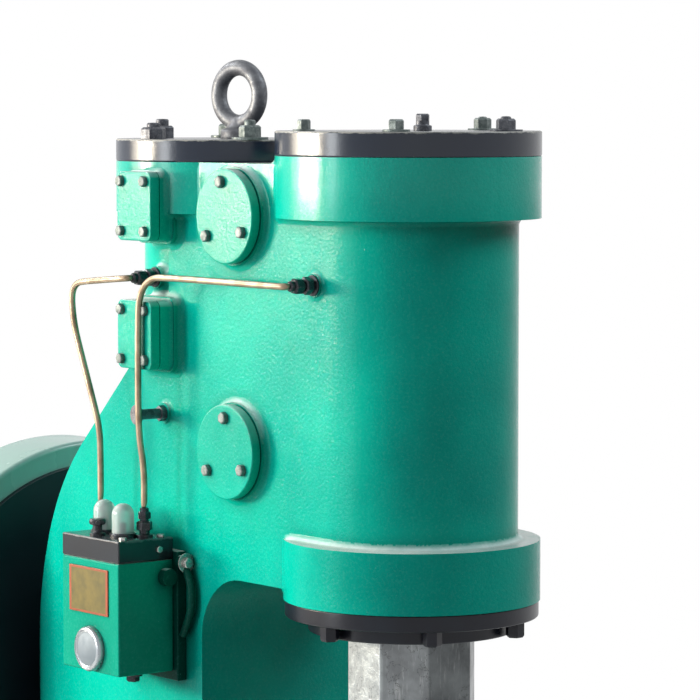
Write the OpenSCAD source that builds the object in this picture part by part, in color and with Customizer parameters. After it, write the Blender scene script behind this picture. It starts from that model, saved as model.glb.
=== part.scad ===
// Pneumatic forging hammer, 40 kg class, single frame.
// Millimetres. The front faces -Y, +Z is up, and the origin lies on the floor under the ram's axis.

/* [Overall] */
// Height of the ram cylinder's top cover above the floor
height = 1580; // [1500:5:1800]
// Distance from the ram's axis to the front of the column
throat_depth = 256; // [220:1:280]
// Height of the lower die's working face above the floor
work_height = 640; // [560:5:680]
// Distance from the ram's axis to the frame's rear wall
frame_rear = 670; // [640:1:700]

/* [Cylinders] */
// Distance between the ram axis and the compressor axis
cylinder_pitch = 350; // [330:5:380]
// Outside radius of the ram cylinder, and half the width of the head
ram_cylinder_r = 128; // [120:1:140]
// Outside radius of the compressor cylinder
compressor_r = 121; // [110:1:128]
// Radius of the ram cylinder's bore
bore_r = 84; // [82:0.5:95]
// Radius of the ram cylinder's two collars
collar_r = 155; // [145:1:165]
// Radius of the compressor cylinder's collar
compressor_collar_r = 157; // [145:1:165]
// Distance that the ram cylinder's upper collar runs straight back between its round ends
collar_straight = 16; // [0:2:30]
// Height of the upper collars
upper_collar_h = 74; // [60:2:90]
// Height of the lower collar
lower_collar_h = 73; // [60:1:90]
// Thickness of the ram cylinder's cover
ram_cover_h = 30; // [20:1:40]
// Thickness of the compressor cylinder's cover
compressor_cover_h = 28; // [20:1:40]
// Drop from the ram cover's top to the compressor cover's top
cover_step = 12; // [8:1:20]
// Length of the ram cylinder from its mouth to its cover
ram_cylinder_h = 532; // [500:2:560]

/* [Ram and dies] */
// Ram width across its flats
ram_flats = 147; // [120:1:150]
// Height of the ram's top above the cylinder's mouth while the dies touch
ram_reach = 247; // [230:1:260]
// Travel of the ram
ram_travel = 245; // [200:5:250]
// Radius of the blind bore in the ram's top
ram_hollow_r = 55; // [40:1:60]
// Depth of the blind bore in the ram's top
ram_hollow_depth = 400; // [300:10:440]
// Die length, front to back
die_length = 120; // [100:5:140]
// Die face width
die_width = 50; // [40:1:60]
// Die height outside its dovetail
die_height = 60; // [50:1:70]
// Height of the dovetail
dovetail_h = 28; // [22:1:32]
// Thickness of the gland ring
gland_h = 20; // [14:1:26]
// Depth of the gland's inner lip below its ring
gland_lip_h = 18; // [8:1:24]

/* [Frame] */
// Height of the plinth that carries the anvil
plinth_h = 180; // [150:5:220]
// Half the plinth's width
plinth_half = 180; // [170:2:200]
// Distance from the ram's axis to the plinth's front
plinth_front = 250; // [240:5:300]
// Thickness of the foundation flange
flange_h = 35; // [25:1:45]
// Width of the foundation flange outside the plinth
flange_out = 36; // [30:1:45]
// Radius of the foundation bolt holes
foundation_hole_r = 12; // [10:0.5:14]
// Radius of the throat's upper corner
throat_r = 80; // [60:5:100]
// Radius of the throat's lower corner
heel_r = 75; // [50:5:80]
// Lean of the straight slope that runs down from behind the compressor cylinder
back_slope = 46; // [42:0.5:50]
// Radius of the sweep that joins this slope to the rear wall
back_sweep_r = 330; // [300:1:360]
// Height of the sweep's foot, where the rear wall's slower curve takes over
back_sweep_z = 1034; // [1000:1:1060]
// Lean of the rear wall at the sweep's foot
back_lean = 17; // [12:0.5:20]
// Distance that the rear wall moves back below the sweep's foot
back_run = 64; // [50:1:80]

/* [Side fittings] */
// Diameter of the round valve covers
valve_cover_d = 116; // [100:1:120]
// Thickness of the round valve covers
valve_cover_h = 13; // [8:1:18]
// Drop from the ram cover's top to the upper valve axis
upper_valve_drop = 104; // [100:1:130]
// Drop from the ram cover's top to the lower valve axis
lower_valve_drop = 391; // [370:1:420]
// Distance that the port caps' seats stand out past the compressor's collar
port_seat_out = 1; // [1:1:10]
// Distance of the port caps in front of the compressor axis
port_forward = 12; // [0:1:16]
// Port cap width
port_w = 74; // [60:1:80]
// Port cap height
port_h = 86; // [70:1:90]
// Thickness of the port caps
port_cap_t = 14; // [10:1:18]
// Drop from the ram cover's top to the upper port cap's centre
upper_port_drop = 95; // [90:1:100]
// Drop from the ram cover's top to the lower port cap's centre
lower_port_drop = 255; // [230:5:280]
// Outside diameter of the oil pipes
oil_pipe_d = 8; // [6:1:10]

/* [Lubricator] */
// Lubricator width along the frame
lub_w = 126; // [110:1:130]
// Lubricator depth away from the frame
lub_d = 83; // [70:1:95]
// Lubricator body height
lub_h = 141; // [120:1:150]
// Lubricator lid thickness
lub_lid_h = 28; // [20:1:34]
// Thickness of the lubricator's bracket
lub_bracket_t = 14; // [10:1:20]

/* [Drive] */
// Radius of the belt guard's upper end
guard_r = 296; // [280:1:320]
// Radius of the belt guard's lower end
guard_foot_r = 100; // [80:5:110]
// Width of the belt guard
guard_w = 105; // [90:1:140]
// Distance from the frame's rear wall to the belt guard
guard_standoff = 19; // [15:1:40]
// Width of the belt guard's rim outside its face
guard_shoulder = 31; // [10:1:40]
// Distance that the belt guard's face stands out past its rim
guard_step = 8; // [5:1:40]
// Height of the crankshaft axis
crank_z = 858; // [820:2:880]
// Height of the motor shaft axis
motor_z = 182; // [175:1:200]
// Motor body radius
motor_r = 105; // [95:1:112]
// Motor body length
motor_l = 205; // [180:5:240]

/* [Treadle] */
// Diameter of the treadle bar
treadle_d = 26; // [20:1:32]
// Height of the treadle bar
treadle_z = 110; // [90:5:130]
// Distance from the ram's axis to the treadle's front bar
treadle_front = 335; // [320:5:380]
// Distance from the ram's axis to the treadle's pivots
treadle_pivot_y = 330; // [300:5:360]

/* [Hidden] */
$fn = 96;
gap = 0.3;
seam = 1;

// Heights along the head
ram_top = height - ram_cover_h;
head_bottom = ram_top - ram_cylinder_h;
compressor_top = height - cover_step - compressor_cover_h;
upper_valve_z = height - upper_valve_drop;
lower_valve_z = height - lower_valve_drop;
upper_port_z = height - upper_port_drop;
lower_port_z = height - lower_port_drop;
throat_top = head_bottom + 12;
sweep_y = frame_rear - back_run - back_sweep_r * cos(back_lean);
sweep_z = back_sweep_z - back_sweep_r * sin(back_lean);
wall_curve_r = back_run / (1 - cos(back_lean));
wall_curve_z = back_sweep_z - wall_curve_r * sin(back_lean);
slope_end = [sweep_y, sweep_z] + back_sweep_r * [cos(back_slope), sin(back_slope)];
head_rear_y = cylinder_pitch - 25;
sweep_join_z = slope_end[1] + (slope_end[0] - head_rear_y) / tan(back_slope);
compressor_foot_z = min(throat_top, sweep_join_z - 200);
valve_y = cylinder_pitch / 2 + 4;
boss_h = 8;
boss_extra_r = 2;
wall_x = ram_cylinder_r;
cover_plane_x = wall_x + boss_h;
port_seat_x = compressor_collar_r + port_seat_out;
port_y = cylinder_pitch - port_forward;
port_root_extra = 8;
port_root_x = wall_x + 12;
corner_r = 60;
plinth_corner_r = 40;
flare_top = 720;
flare_bottom = 380;
flare_angle = atan2(plinth_half - wall_x, flare_top - flare_bottom);
foundation_x = plinth_half + 8;
foundation_y = [-plinth_front + 30, frame_rear - 62];

door_y = 400;
door_z = (flare_top + flare_bottom) / 2;
door_r = 105;
door_t = 14;
door_seat_h = 6;

// The ram and dies at rest, with the upper die on the lower one
die_gap = 0.3;
upper_die_z = work_height + die_gap;
ram_z = upper_die_z + die_height;
ram_length = head_bottom + ram_reach - ram_z;
anvil_top = work_height - die_height;
dovetail_neck = die_width * 0.84;
dovetail_flare = 5;
wedge_t = 10;
piston_r = bore_r - gap;
piston_h = 190;

// Lubricator place
lub_y0 = throat_depth + 41;
lub_z0 = 904;
lub_back_x = wall_x + lub_bracket_t;
lub_face_x = lub_back_x + lub_d;
lub_top = lub_z0 + lub_h + lub_lid_h;
lub_mid_y = lub_y0 + lub_w / 2;
window_r = 28.5;
window_y = lub_mid_y - 2;
window_z = 933;
plate_size = [86, 58];
plate_t = 1.5;
front_union = [-170, lub_y0 + 23];
rear_union = [-172, lub_y0 + 117];
union_h = 36;
dome_r = 14;
dome_h = 42;
dome_places = [[-190, lub_y0 + 41], [-184, lub_y0 + 91]];
pipe_run_x = -178;
rear_pipe_x = -178;
front_oil_z = height - 182;
rear_oil_z = height - 185;
rear_oil_y = max(cylinder_pitch - 1, front_union[1] + 3 * oil_pipe_d);
front_oil_y = 23;
support_y = front_union[1] + 12.5;
support_z = height - 355;
pipe_bend = 26;
front_pipe_bend = 52;
bracket_out = 8;
union_reach = 40;

// Drive place
guard_y = frame_rear + guard_standoff;
bearing_r = 68;
bearing_cap_t = 12;
stay_r = 9;
stay_place = [90, 400];
motor_y = guard_y + guard_w + 22;
bed_h = 70;
bed_half = 140;
bed_rear = motor_y + motor_l + 110;

// Treadle place
treadle_x = plinth_half + 62;
treadle_bend = 70;
treadle_hub_r = 24;
treadle_hub_w = 28;
treadle_tail_y = treadle_pivot_y + 105;
pin_r = 12;
pin_fit = 0.1;

// Valve gear place
bonnet_h = 20;
spindle_x = cover_plane_x + bonnet_h;
lever_arm = 95;
lever_angle = -28;
lever_t = 14;
lever_pin_l = 14;
rod_r = 8;

// Unit vector along v.
function unit(v) = v / norm(v);

// Points of an arc in the plane, from angle a0 to a1.
function arc(centre, r, a0, a1, steps = 12) =
    [for (i = [0:steps]) centre + r * [cos(a0 + (a1 - a0) * i / steps), sin(a0 + (a1 - a0) * i / steps)]];

// Points of a route whose inner corners are eased by up to b.
function eased(p, b, steps = 5) = concat([p[0]],
    [for (i = [1:len(p) - 2], k = [0:steps])
        let (a = p[i] + unit(p[i - 1] - p[i]) * min(b, norm(p[i - 1] - p[i]) * 0.48),
             c = p[i] + unit(p[i + 1] - p[i]) * min(b, norm(p[i + 1] - p[i]) * 0.48),
             t = k / steps)
        a * pow(1 - t, 2) + p[i] * 2 * t * (1 - t) + c * t * t],
    [p[len(p) - 1]]);

// Direction of a route at each of its points.
function headings(p) = [for (i = [0:len(p) - 1])
    unit(p[min(i + 1, len(p) - 1)] - p[max(i - 1, 0)])];

// A vector at right angles to each heading, carried along without twist.
function carried(t, start, i = 0, done = []) = i == len(t) ? done :
    let (v = i == 0 ? start : done[i - 1], n = unit(v - (v * t[i]) * t[i]))
    carried(t, start, i + 1, concat(done, [n]));

// A closed tube of radius r that follows a route.
module tube(route, r, start = [0, 0, 1], sides = 10) {
    t = headings(route);
    n = carried(t, start);
    last = len(route) - 1;
    points = [for (i = [0:last], k = [0:sides - 1])
        route[i] + r * (cos(360 * k / sides) * n[i] + sin(360 * k / sides) * cross(t[i], n[i]))];
    sides_faces = [for (i = [0:last - 1], k = [0:sides - 1])
        let (a = i * sides + k, b = i * sides + (k + 1) % sides) [a, a + sides, b + sides, b]];
    polyhedron(points, concat(sides_faces,
        [[for (k = [0:sides - 1]) k], [for (k = [sides - 1:-1:0]) last * sides + k]]), convexity = 6);
}

// A round bar between two points.
module bar(from, to, r) {
    d = to - from;
    translate(from)
        rotate([0, acos(d[2] / norm(d)), atan2(d[1], d[0])])
            cylinder(r = r, h = norm(d));
}

// A cylinder along X from x0 to x1.
module x_disc(x0, x1, y, z, r) {
    translate([min(x0, x1), y, z]) rotate([0, 90, 0]) cylinder(r = r, h = abs(x1 - x0));
}

// A cylinder along Y from y0 to y1.
module y_disc(y0, y1, x, z, r) {
    translate([x, y0, z]) rotate([-90, 0, 0]) cylinder(r = r, h = y1 - y0);
}

// A plate in the plane Y-Z from x0 to x1, with rounded corners.
module side_plate(x0, x1, y, z, w, h, r) {
    translate([min(x0, x1), y, z]) rotate([90, 0, 90])
        linear_extrude(abs(x1 - x0)) rounded_rectangle(w, h, r);
}

module rounded_rectangle(w, h, r) {
    union() {
        square([w - 2 * r, h], center = true);
        square([w, h - 2 * r], center = true);
        for (sx = [-1, 1], sy = [-1, 1])
            translate([sx * (w / 2 - r), sy * (h / 2 - r)]) circle(r, $fn = 48);
    }
}

// Outline of the frame seen from its side, in Y and Z.
module frame_side() {
    polygon(concat(
        [[0, compressor_top], [0, throat_top]],
        arc([throat_depth - throat_r, throat_top - throat_r], throat_r, 90, 0),
        arc([throat_depth - heel_r, plinth_h + heel_r], heel_r, 0, -90),
        [[-plinth_front, plinth_h], [-plinth_front, 0], [frame_rear, 0]],
        arc([frame_rear - wall_curve_r, wall_curve_z], wall_curve_r, 0, back_lean, 16),
        arc([sweep_y, sweep_z], back_sweep_r, back_lean, back_slope, 24),
        [[head_rear_y, sweep_join_z], [head_rear_y, compressor_top]]));
}

// Half the frame's width at height z, where it flares from the head to the plinth.
function flare(z) = wall_x
    + (plinth_half - wall_x) * min(1, max(0, (flare_top - z) / (flare_top - flare_bottom)));

// Outline of the column seen from above for a half width w, with its rear corners rounded to r.
module column_plan(w, r) {
    union() {
        translate([-w, -plinth_front]) square([2 * w, frame_rear + plinth_front - r]);
        translate([-w + r, 0]) square([2 * (w - r), frame_rear]);
        for (s = [-1, 1]) translate([s * (w - r), frame_rear - r]) circle(r);
    }
}

// Everything inside the leaning wall of one side, which starts at flare_top and spreads downward.
module leaning_side(s) {
    reach = 4 * plinth_half;
    translate([s * wall_x, 0, flare_top]) rotate([0, -s * flare_angle, 0]) mirror([s < 0 ? 1 : 0, 0, 0])
        translate([0, 0, -flare_top * 1.2]) linear_extrude(flare_top * 1.4) union() {
            translate([-reach, -plinth_front - seam])
                square([reach, frame_rear + plinth_front + seam - corner_r]);
            translate([-reach, 0]) square([reach - corner_r, frame_rear]);
            translate([-corner_r, frame_rear - corner_r]) circle(corner_r);
        }
}

module frame_column() {
    intersection() {
        translate([-plinth_half - seam, 0, 0]) rotate([90, 0, 90])
            linear_extrude(2 * (plinth_half + seam)) frame_side();
        union() {
            intersection() {
                linear_extrude(flare_top) column_plan(plinth_half, plinth_corner_r);
                leaning_side(-1);
                leaning_side(1);
            }
            translate([0, 0, flare_top - 20])
                linear_extrude(height - flare_top + 20) column_plan(wall_x, corner_r);
        }
    }
}

// Places a child's +Z axis on the leaning wall of one side, at the crank door.
module on_door_seat(s) {
    translate([s * flare(door_z), door_y, door_z]) rotate([0, s * (90 - flare_angle), 0]) children();
}

// Foundation flange round the plinth.
module foundation_flange() {
    linear_extrude(flange_h) union() {
        translate([0, (frame_rear - plinth_front - 10) / 2])
            rounded_rectangle(2 * (plinth_half + flange_out), frame_rear + plinth_front + 10, 30);
        translate([-plinth_half, frame_rear - corner_r]) square([2 * plinth_half, corner_r]);
    }
}

// Outline of the ram cylinder's upper collar, seen from above.
module upper_collar_plan() {
    union() {
        circle(collar_r);
        translate([-collar_r, 0]) square([2 * collar_r, collar_straight]);
        translate([0, collar_straight]) circle(collar_r);
    }
}

module port_boss(z) {
    union() {
        side_plate(-compressor_r + 40, -port_root_x, port_y, z,
            port_w + port_root_extra, port_h + port_root_extra, 14);
        side_plate(-compressor_r + 40, -port_seat_x, port_y, z, port_w, port_h, 10);
    }
}

module frame() {
    color([0.03, 0.62, 0.49]) difference() {
        union() {
            frame_column();
            foundation_flange();
            // ram cylinder with its collars
            translate([0, 0, head_bottom]) cylinder(r = ram_cylinder_r, h = ram_cylinder_h);
            translate([0, 0, head_bottom]) cylinder(r = collar_r, h = lower_collar_h);
            translate([0, 0, ram_top - upper_collar_h]) linear_extrude(upper_collar_h) upper_collar_plan();
            // compressor cylinder with its collar
            translate([0, cylinder_pitch, compressor_foot_z])
                cylinder(r = compressor_r, h = compressor_top - compressor_foot_z);
            translate([0, cylinder_pitch, ram_top - upper_collar_h])
                cylinder(r = compressor_collar_r, h = compressor_top - ram_top + upper_collar_h);
            // bosses for the valve covers, the port caps and the oil unions
            for (z = [upper_valve_z, lower_valve_z], s = [-1, 1])
                x_disc(s * (wall_x - 20), s * cover_plane_x, valve_y, z, valve_cover_d / 2 + boss_extra_r);
            for (z = [upper_port_z, lower_port_z]) port_boss(z);
            x_disc(-wall_x + 20, -wall_x - 4, front_oil_y, front_oil_z, 14);
            x_disc(-wall_x + 20, -wall_x - 4, rear_oil_y, rear_oil_z, 14);
            x_disc(-wall_x + 20, -wall_x - 4, support_y, support_z, 13);
            for (s = [-1, 1]) on_door_seat(s)
                translate([0, 0, -20]) cylinder(r = door_r + 10, h = 20 + door_seat_h);
            // treadle pivot bosses
            for (s = [-1, 1])
                x_disc(s * (plinth_half - 20), s * (treadle_x - treadle_hub_w / 2 - 2),
                    treadle_pivot_y, treadle_z, treadle_hub_r + 2);
        }
        translate([0, 0, head_bottom - seam]) cylinder(r = bore_r, h = ram_cylinder_h + 2 * seam);
        for (s = [-1, 1], y = foundation_y)
            translate([s * foundation_x, y, -seam]) cylinder(r = foundation_hole_r, h = flange_h + 60);
        for (s = [-1, 1], y = foundation_y)
            translate([s * foundation_x, y, flange_h]) cylinder(r = 2 * foundation_hole_r, h = 60);
        for (s = [-1, 1])
            x_disc(s * (plinth_half - 30), s * (treadle_x + 30), treadle_pivot_y, treadle_z, pin_r);
    }
}

module ram_cylinder_cover() {
    color([0.11, 0.12, 0.13]) translate([0, 0, ram_top])
        linear_extrude(ram_cover_h) upper_collar_plan();
}

module compressor_cover() {
    color([0.11, 0.12, 0.13]) translate([0, cylinder_pitch, compressor_top])
        cylinder(r = compressor_collar_r, h = compressor_cover_h);
}

eye_ring_r = 35;
eye_bar_r = 10;
eye_collar_h = 12;
eye_turn = 11;
eye_neck_h = 8;

// Lifting eye on the compressor cover, turned as it was screwed home.
module lifting_eye() {
    ring_z = eye_collar_h + eye_ring_r + eye_neck_h;
    color([0.38, 0.4, 0.42]) translate([0, cylinder_pitch, height - cover_step])
        rotate([0, 0, 90 + eye_turn])
        union() {
            cylinder(r = 24, h = eye_collar_h);
            cylinder(r = 13, h = eye_collar_h + eye_neck_h);
            translate([0, 0, ring_z]) rotate([90, 0, 0])
                rotate_extrude() translate([eye_ring_r, 0]) circle(eye_bar_r, $fn = 32);
        }
}

// Octagon of width w across its flats, with a flat to the front.
module octagon(w) {
    rotate(22.5) circle(r = w / 2 / cos(22.5), $fn = 8);
}

module gland_ring() {
    color([0.12, 0.13, 0.15]) difference() {
        union() {
            translate([0, 0, head_bottom - gland_h]) cylinder(r = collar_r - 2, h = gland_h);
            translate([0, 0, head_bottom - gland_h - gland_lip_h])
                cylinder(r = collar_r - 30, h = gland_lip_h + seam);
        }
        translate([0, 0, head_bottom - gland_h - gland_lip_h - seam])
            linear_extrude(gland_h + gland_lip_h + 2 * seam) octagon(ram_flats + 2 * gap);
    }
}

// Dovetail outline: neck at y = 0, widening upward.
module dovetail(neck, h, flare_by) {
    polygon([[-neck / 2, -seam], [-neck / 2, 0], [-neck / 2 - flare_by, h],
        [neck / 2 + flare_by, h], [neck / 2, 0], [neck / 2, -seam]]);
}

// Slot for a dovetail and its wedge, h deep.
module dovetail_slot(h) {
    polygon([[-dovetail_neck / 2 - gap, -seam], [-dovetail_neck / 2 - gap, 0],
        [-dovetail_neck / 2 - dovetail_flare - gap, h + gap],
        [dovetail_neck / 2 + dovetail_flare + wedge_t + gap, h + gap],
        [dovetail_neck / 2 + wedge_t + gap, 0], [dovetail_neck / 2 + wedge_t + gap, -seam]]);
}

// Wedge that fills the slot beside the dovetail.
module wedge_outline(h) {
    polygon([[dovetail_neck / 2 + gap, 0], [dovetail_neck / 2 + wedge_t, 0],
        [dovetail_neck / 2 + dovetail_flare + wedge_t, h],
        [dovetail_neck / 2 + dovetail_flare + gap, h]]);
}

// Lays an X-Z outline along Y, l long and centred.
module along_y(l) {
    translate([0, l / 2, 0]) rotate([90, 0, 0]) linear_extrude(l) children();
}

module ram() {
    color([0.55, 0.56, 0.57]) translate([0, 0, ram_z]) difference() {
        union() {
            linear_extrude(ram_length - piston_h + seam) octagon(ram_flats);
            translate([0, 0, ram_length - piston_h]) cylinder(r = piston_r, h = piston_h);
        }
        translate([0, 0, ram_length - ram_hollow_depth])
            cylinder(r = ram_hollow_r, h = ram_hollow_depth + seam);
        along_y(ram_flats + 20) dovetail_slot(dovetail_h);
    }
}

// Die body with its working face at z = 0 and the dovetail on top.
module die() {
    union() {
        translate([-die_width / 2 - 4, -die_length / 2, 12])
            cube([die_width + 8, die_length, die_height - 12]);
        along_y(die_length) polygon([[-die_width / 2, 0], [die_width / 2, 0],
            [die_width / 2 + 4, 12], [-die_width / 2 - 4, 12]]);
        translate([0, 0, die_height])
            along_y(die_length) dovetail(dovetail_neck, dovetail_h, dovetail_flare);
    }
}

module upper_die() {
    color([0.42, 0.41, 0.4]) translate([0, 0, upper_die_z]) die();
}

module upper_die_wedge() {
    color([0.4, 0.4, 0.4]) translate([0, -6, ram_z]) along_y(ram_flats - 14) wedge_outline(dovetail_h);
}

module lower_die() {
    color([0.42, 0.41, 0.4]) translate([0, 0, work_height]) rotate([180, 0, 0]) die();
}

module lower_die_wedge() {
    color([0.4, 0.4, 0.4]) translate([0, -8, anvil_top]) rotate([180, 0, 0])
        along_y(ram_flats + 30) wedge_outline(dovetail_h);
}

anvil_foot = [300, 300];
anvil_head = [210, 190];
anvil_foot_h = 70;
anvil_head_h = 90;
taper_top = anvil_top - anvil_head_h;
taper_bottom = plinth_h + anvil_foot_h;

// Upright outline of the anvil's tapered neck, half widths below and above.
module anvil_side(foot, head) {
    polygon([[-foot, taper_bottom - seam], [foot, taper_bottom - seam],
        [head, taper_top], [head, anvil_top], [-head, anvil_top], [-head, taper_top]]);
}

module anvil_block() {
    color([0.05, 0.5, 0.4]) difference() {
        union() {
            translate([-anvil_foot[0] / 2, -anvil_foot[1] / 2, plinth_h])
                cube([anvil_foot[0], anvil_foot[1], anvil_foot_h]);
            intersection() {
                translate([0, anvil_foot[1] / 2 + seam, 0]) rotate([90, 0, 0])
                    linear_extrude(anvil_foot[1] + 2 * seam)
                        anvil_side(anvil_foot[0] / 2 - 25, anvil_head[0] / 2);
                translate([-anvil_foot[0] / 2 - seam, 0, 0]) rotate([90, 0, 90])
                    linear_extrude(anvil_foot[0] + 2 * seam)
                        anvil_side(anvil_foot[1] / 2 - 25, anvil_head[1] / 2);
            }
        }
        translate([0, 0, anvil_top]) rotate([180, 0, 0]) along_y(anvil_foot[1]) dovetail_slot(dovetail_h);
    }
}

module valve_cover(z) {
    color([0.05, 0.66, 0.52])
        x_disc(-cover_plane_x, -cover_plane_x - valve_cover_h, valve_y, z, valve_cover_d / 2);
}

module port_cap(z) {
    color([0.05, 0.66, 0.52])
        side_plate(-port_seat_x, -port_seat_x - port_cap_t, port_y, z, port_w, port_h, 9);
}

// Round bonnet on the far side, with the valve spindle through it.
module valve_bonnet(z, spindle_out) {
    color([0.05, 0.62, 0.5]) union() {
        x_disc(cover_plane_x, cover_plane_x + valve_cover_h, valve_y, z, valve_cover_d / 2);
        x_disc(cover_plane_x, spindle_x, valve_y, z, 24);
        x_disc(cover_plane_x, spindle_x + spindle_out, valve_y, z, pin_r);
    }
}

hand_lever_end = [spindle_x + lever_t / 2 + 22, valve_y + 110, upper_valve_z - 100];

// Hand lever of the upper valve: a hub, an arm and a grip.
module upper_valve_handle() {
    hub = [spindle_x + lever_t / 2 + gap, valve_y, upper_valve_z];
    color([0.16, 0.17, 0.18]) difference() {
        union() {
            x_disc(spindle_x + gap, spindle_x + lever_t + gap, valve_y, upper_valve_z, 22);
            bar(hub + unit(hand_lever_end - hub) * 18, hand_lever_end, 7);
            translate(hand_lever_end) sphere(r = 15, $fn = 48);
        }
        x_disc(spindle_x - 5, spindle_x + 60, valve_y, upper_valve_z, pin_r + pin_fit);
    }
}

lever_end = [spindle_x + gap + lever_t / 2, valve_y + lever_arm * cos(lever_angle),
    lower_valve_z + lever_arm * sin(lever_angle)];

// Outline of the lower valve's lever, which reaches along +X from its hub.
module lever_outline() {
    union() {
        circle(24);
        translate([0, -12]) square([lever_arm, 24]);
        translate([lever_arm, 0]) circle(15);
    }
}

// Lever of the lower valve, which the treadle pulls through the link rod.
module lower_valve_lever() {
    color([0.16, 0.17, 0.18]) difference() {
        union() {
            translate([spindle_x + gap, valve_y, lower_valve_z]) rotate([90, 0, 90])
                linear_extrude(lever_t) rotate(lever_angle) lever_outline();
            x_disc(spindle_x + gap, spindle_x + gap + lever_t + lever_pin_l, lever_end[1], lever_end[2], 7);
        }
        x_disc(spindle_x - 5, spindle_x + 60, valve_y, lower_valve_z, pin_r + pin_fit);
    }
}

rod_top = lever_end + [lever_t / 2 + lever_pin_l / 2 + 2, 0, 0];
rod_foot = [treadle_x, treadle_tail_y, treadle_z];

// Link rod with an eye at each end.
module link_rod() {
    color([0.3, 0.31, 0.32]) difference() {
        union() {
            bar(rod_foot + [0, 0, 30], rod_top - [0, 0, 12], rod_r);
            x_disc(rod_top[0] - 5, rod_top[0] + 5, rod_top[1], rod_top[2], 15);
            bar(rod_foot + [0, 0, 20], rod_foot + [0, 0, 60], 11);
            translate(rod_foot + [0, 0, 22]) cylinder(r = 13, h = 20);
        }
        x_disc(rod_top[0] - 30, rod_top[0] + 30, rod_top[1], rod_top[2], 7 + pin_fit);
    }
}

// Foot treadle: a bar bent round the plinth, with a hub at each pivot.
module treadle() {
    side_l = treadle_pivot_y + treadle_front - treadle_bend;
    color([0.1, 0.42, 0.36]) difference() {
        union() {
            translate([-treadle_x + treadle_bend, -treadle_front, treadle_z]) rotate([0, 90, 0])
                cylinder(d = treadle_d, h = 2 * (treadle_x - treadle_bend));
            for (s = [-1, 1]) {
                translate([s * (treadle_x - treadle_bend), -treadle_front + treadle_bend, treadle_z])
                    rotate([0, 0, s > 0 ? -90 : 180]) rotate_extrude(angle = 90)
                        translate([treadle_bend, 0]) circle(d = treadle_d, $fn = 48);
                y_disc(-treadle_front + treadle_bend, treadle_pivot_y, s * treadle_x, treadle_z,
                    treadle_d / 2);
                x_disc(s * treadle_x - treadle_hub_w / 2, s * treadle_x + treadle_hub_w / 2,
                    treadle_pivot_y, treadle_z, treadle_hub_r);
            }
            y_disc(treadle_pivot_y, treadle_tail_y, treadle_x, treadle_z, treadle_d / 2);
            translate([treadle_x, treadle_tail_y, treadle_z - 18]) cylinder(r = 20, h = 38);
        }
        for (s = [-1, 1])
            x_disc(s * (treadle_x - 40), s * (treadle_x + 40), treadle_pivot_y, treadle_z, pin_r + pin_fit);
    }
}

module treadle_pins() {
    color([0.45, 0.46, 0.47]) for (s = [-1, 1]) union() {
        x_disc(s * (plinth_half - 30), s * (treadle_x + treadle_hub_w / 2 + 10),
            treadle_pivot_y, treadle_z, pin_r);
        x_disc(s * (treadle_x + treadle_hub_w / 2 + 1), s * (treadle_x + treadle_hub_w / 2 + 10),
            treadle_pivot_y, treadle_z, pin_r + 7);
    }
}

module lubricator_body() {
    color([0.05, 0.6, 0.48]) translate([-lub_face_x, lub_y0, lub_z0]) cube([lub_d, lub_w, lub_h]);
}

module lubricator_lid() {
    color([0.17, 0.18, 0.19]) translate([-lub_face_x, lub_y0, lub_z0 + lub_h])
        cube([lub_d, lub_w, lub_lid_h]);
}

module lubricator_sight_domes() {
    color([0.85, 0.93, 0.9, 0.6]) for (p = dome_places) translate([p[0], p[1], lub_top]) union() {
        cylinder(r = dome_r, h = dome_h - dome_r);
        translate([0, 0, dome_h - dome_r]) sphere(r = dome_r);
    }
}

module lubricator_window() {
    color([0.8, 0.82, 0.83]) x_disc(-lub_face_x, -lub_face_x - 9, window_y, window_z, window_r);
}

module lubricator_plate() {
    color([0.5, 0.42, 0.15]) translate([-lub_face_x - plate_t, lub_mid_y + 2 - plate_size[0] / 2, 977])
        cube([plate_t, plate_size[0], plate_size[1]]);
}

// Filler plug with its cross handle.
module lubricator_filler() {
    color([0.15, 0.15, 0.16]) translate([-208, lub_y0 + 71, lub_top]) union() {
        cylinder(r = 6.5, h = 14);
        translate([0, 0, 12]) cylinder(r = 13, h = 9);
    }
}

// Hexagon unions where the oil pipes leave the lid.
module lubricator_unions() {
    color([0.14, 0.14, 0.15]) for (p = [front_union, rear_union]) translate([p[0], p[1], lub_top]) union() {
        cylinder(r = 8, h = union_h);
        translate([0, 0, 14]) cylinder(r = 10.4, h = 20, $fn = 6);
    }
}

module lubricator_bracket() {
    color([0.06, 0.36, 0.3]) translate([-lub_back_x, lub_y0 - bracket_out, lub_z0 - 12])
        cube([lub_bracket_t, lub_w + 2 * bracket_out, lub_h + 22]);
}

// Priming lever on the bracket's front edge, and the pump shaft's boss beside it.
module lubricator_crank() {
    x = -wall_x - 9;
    y = lub_y0 - bracket_out;
    lever = [[x, y - 5, 1042], [x, y - 22, 1020], [x, y - 24, 985], [x, y - 5, 950]];
    color([0.08, 0.1, 0.1]) {
        y_disc(y - 12, y, x, 1042, 8.5);
        tube(eased(lever, 16, 3), 5, [1, 0, 0]);
        y_disc(lub_y0 - 12, lub_y0, -lub_back_x - 13, 1024, 11);
    }
}

// Oil pipe from the lubricator to the ram cylinder.
front_route = [[-wall_x - union_reach, front_oil_y, front_oil_z], [pipe_run_x, front_oil_y, front_oil_z],
    [pipe_run_x, front_union[1], front_oil_z + 2], [pipe_run_x, front_union[1] + 1, support_z - 20],
    [front_union[0], front_union[1], lub_top + 87], [front_union[0], front_union[1], lub_top + union_h]];
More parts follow.
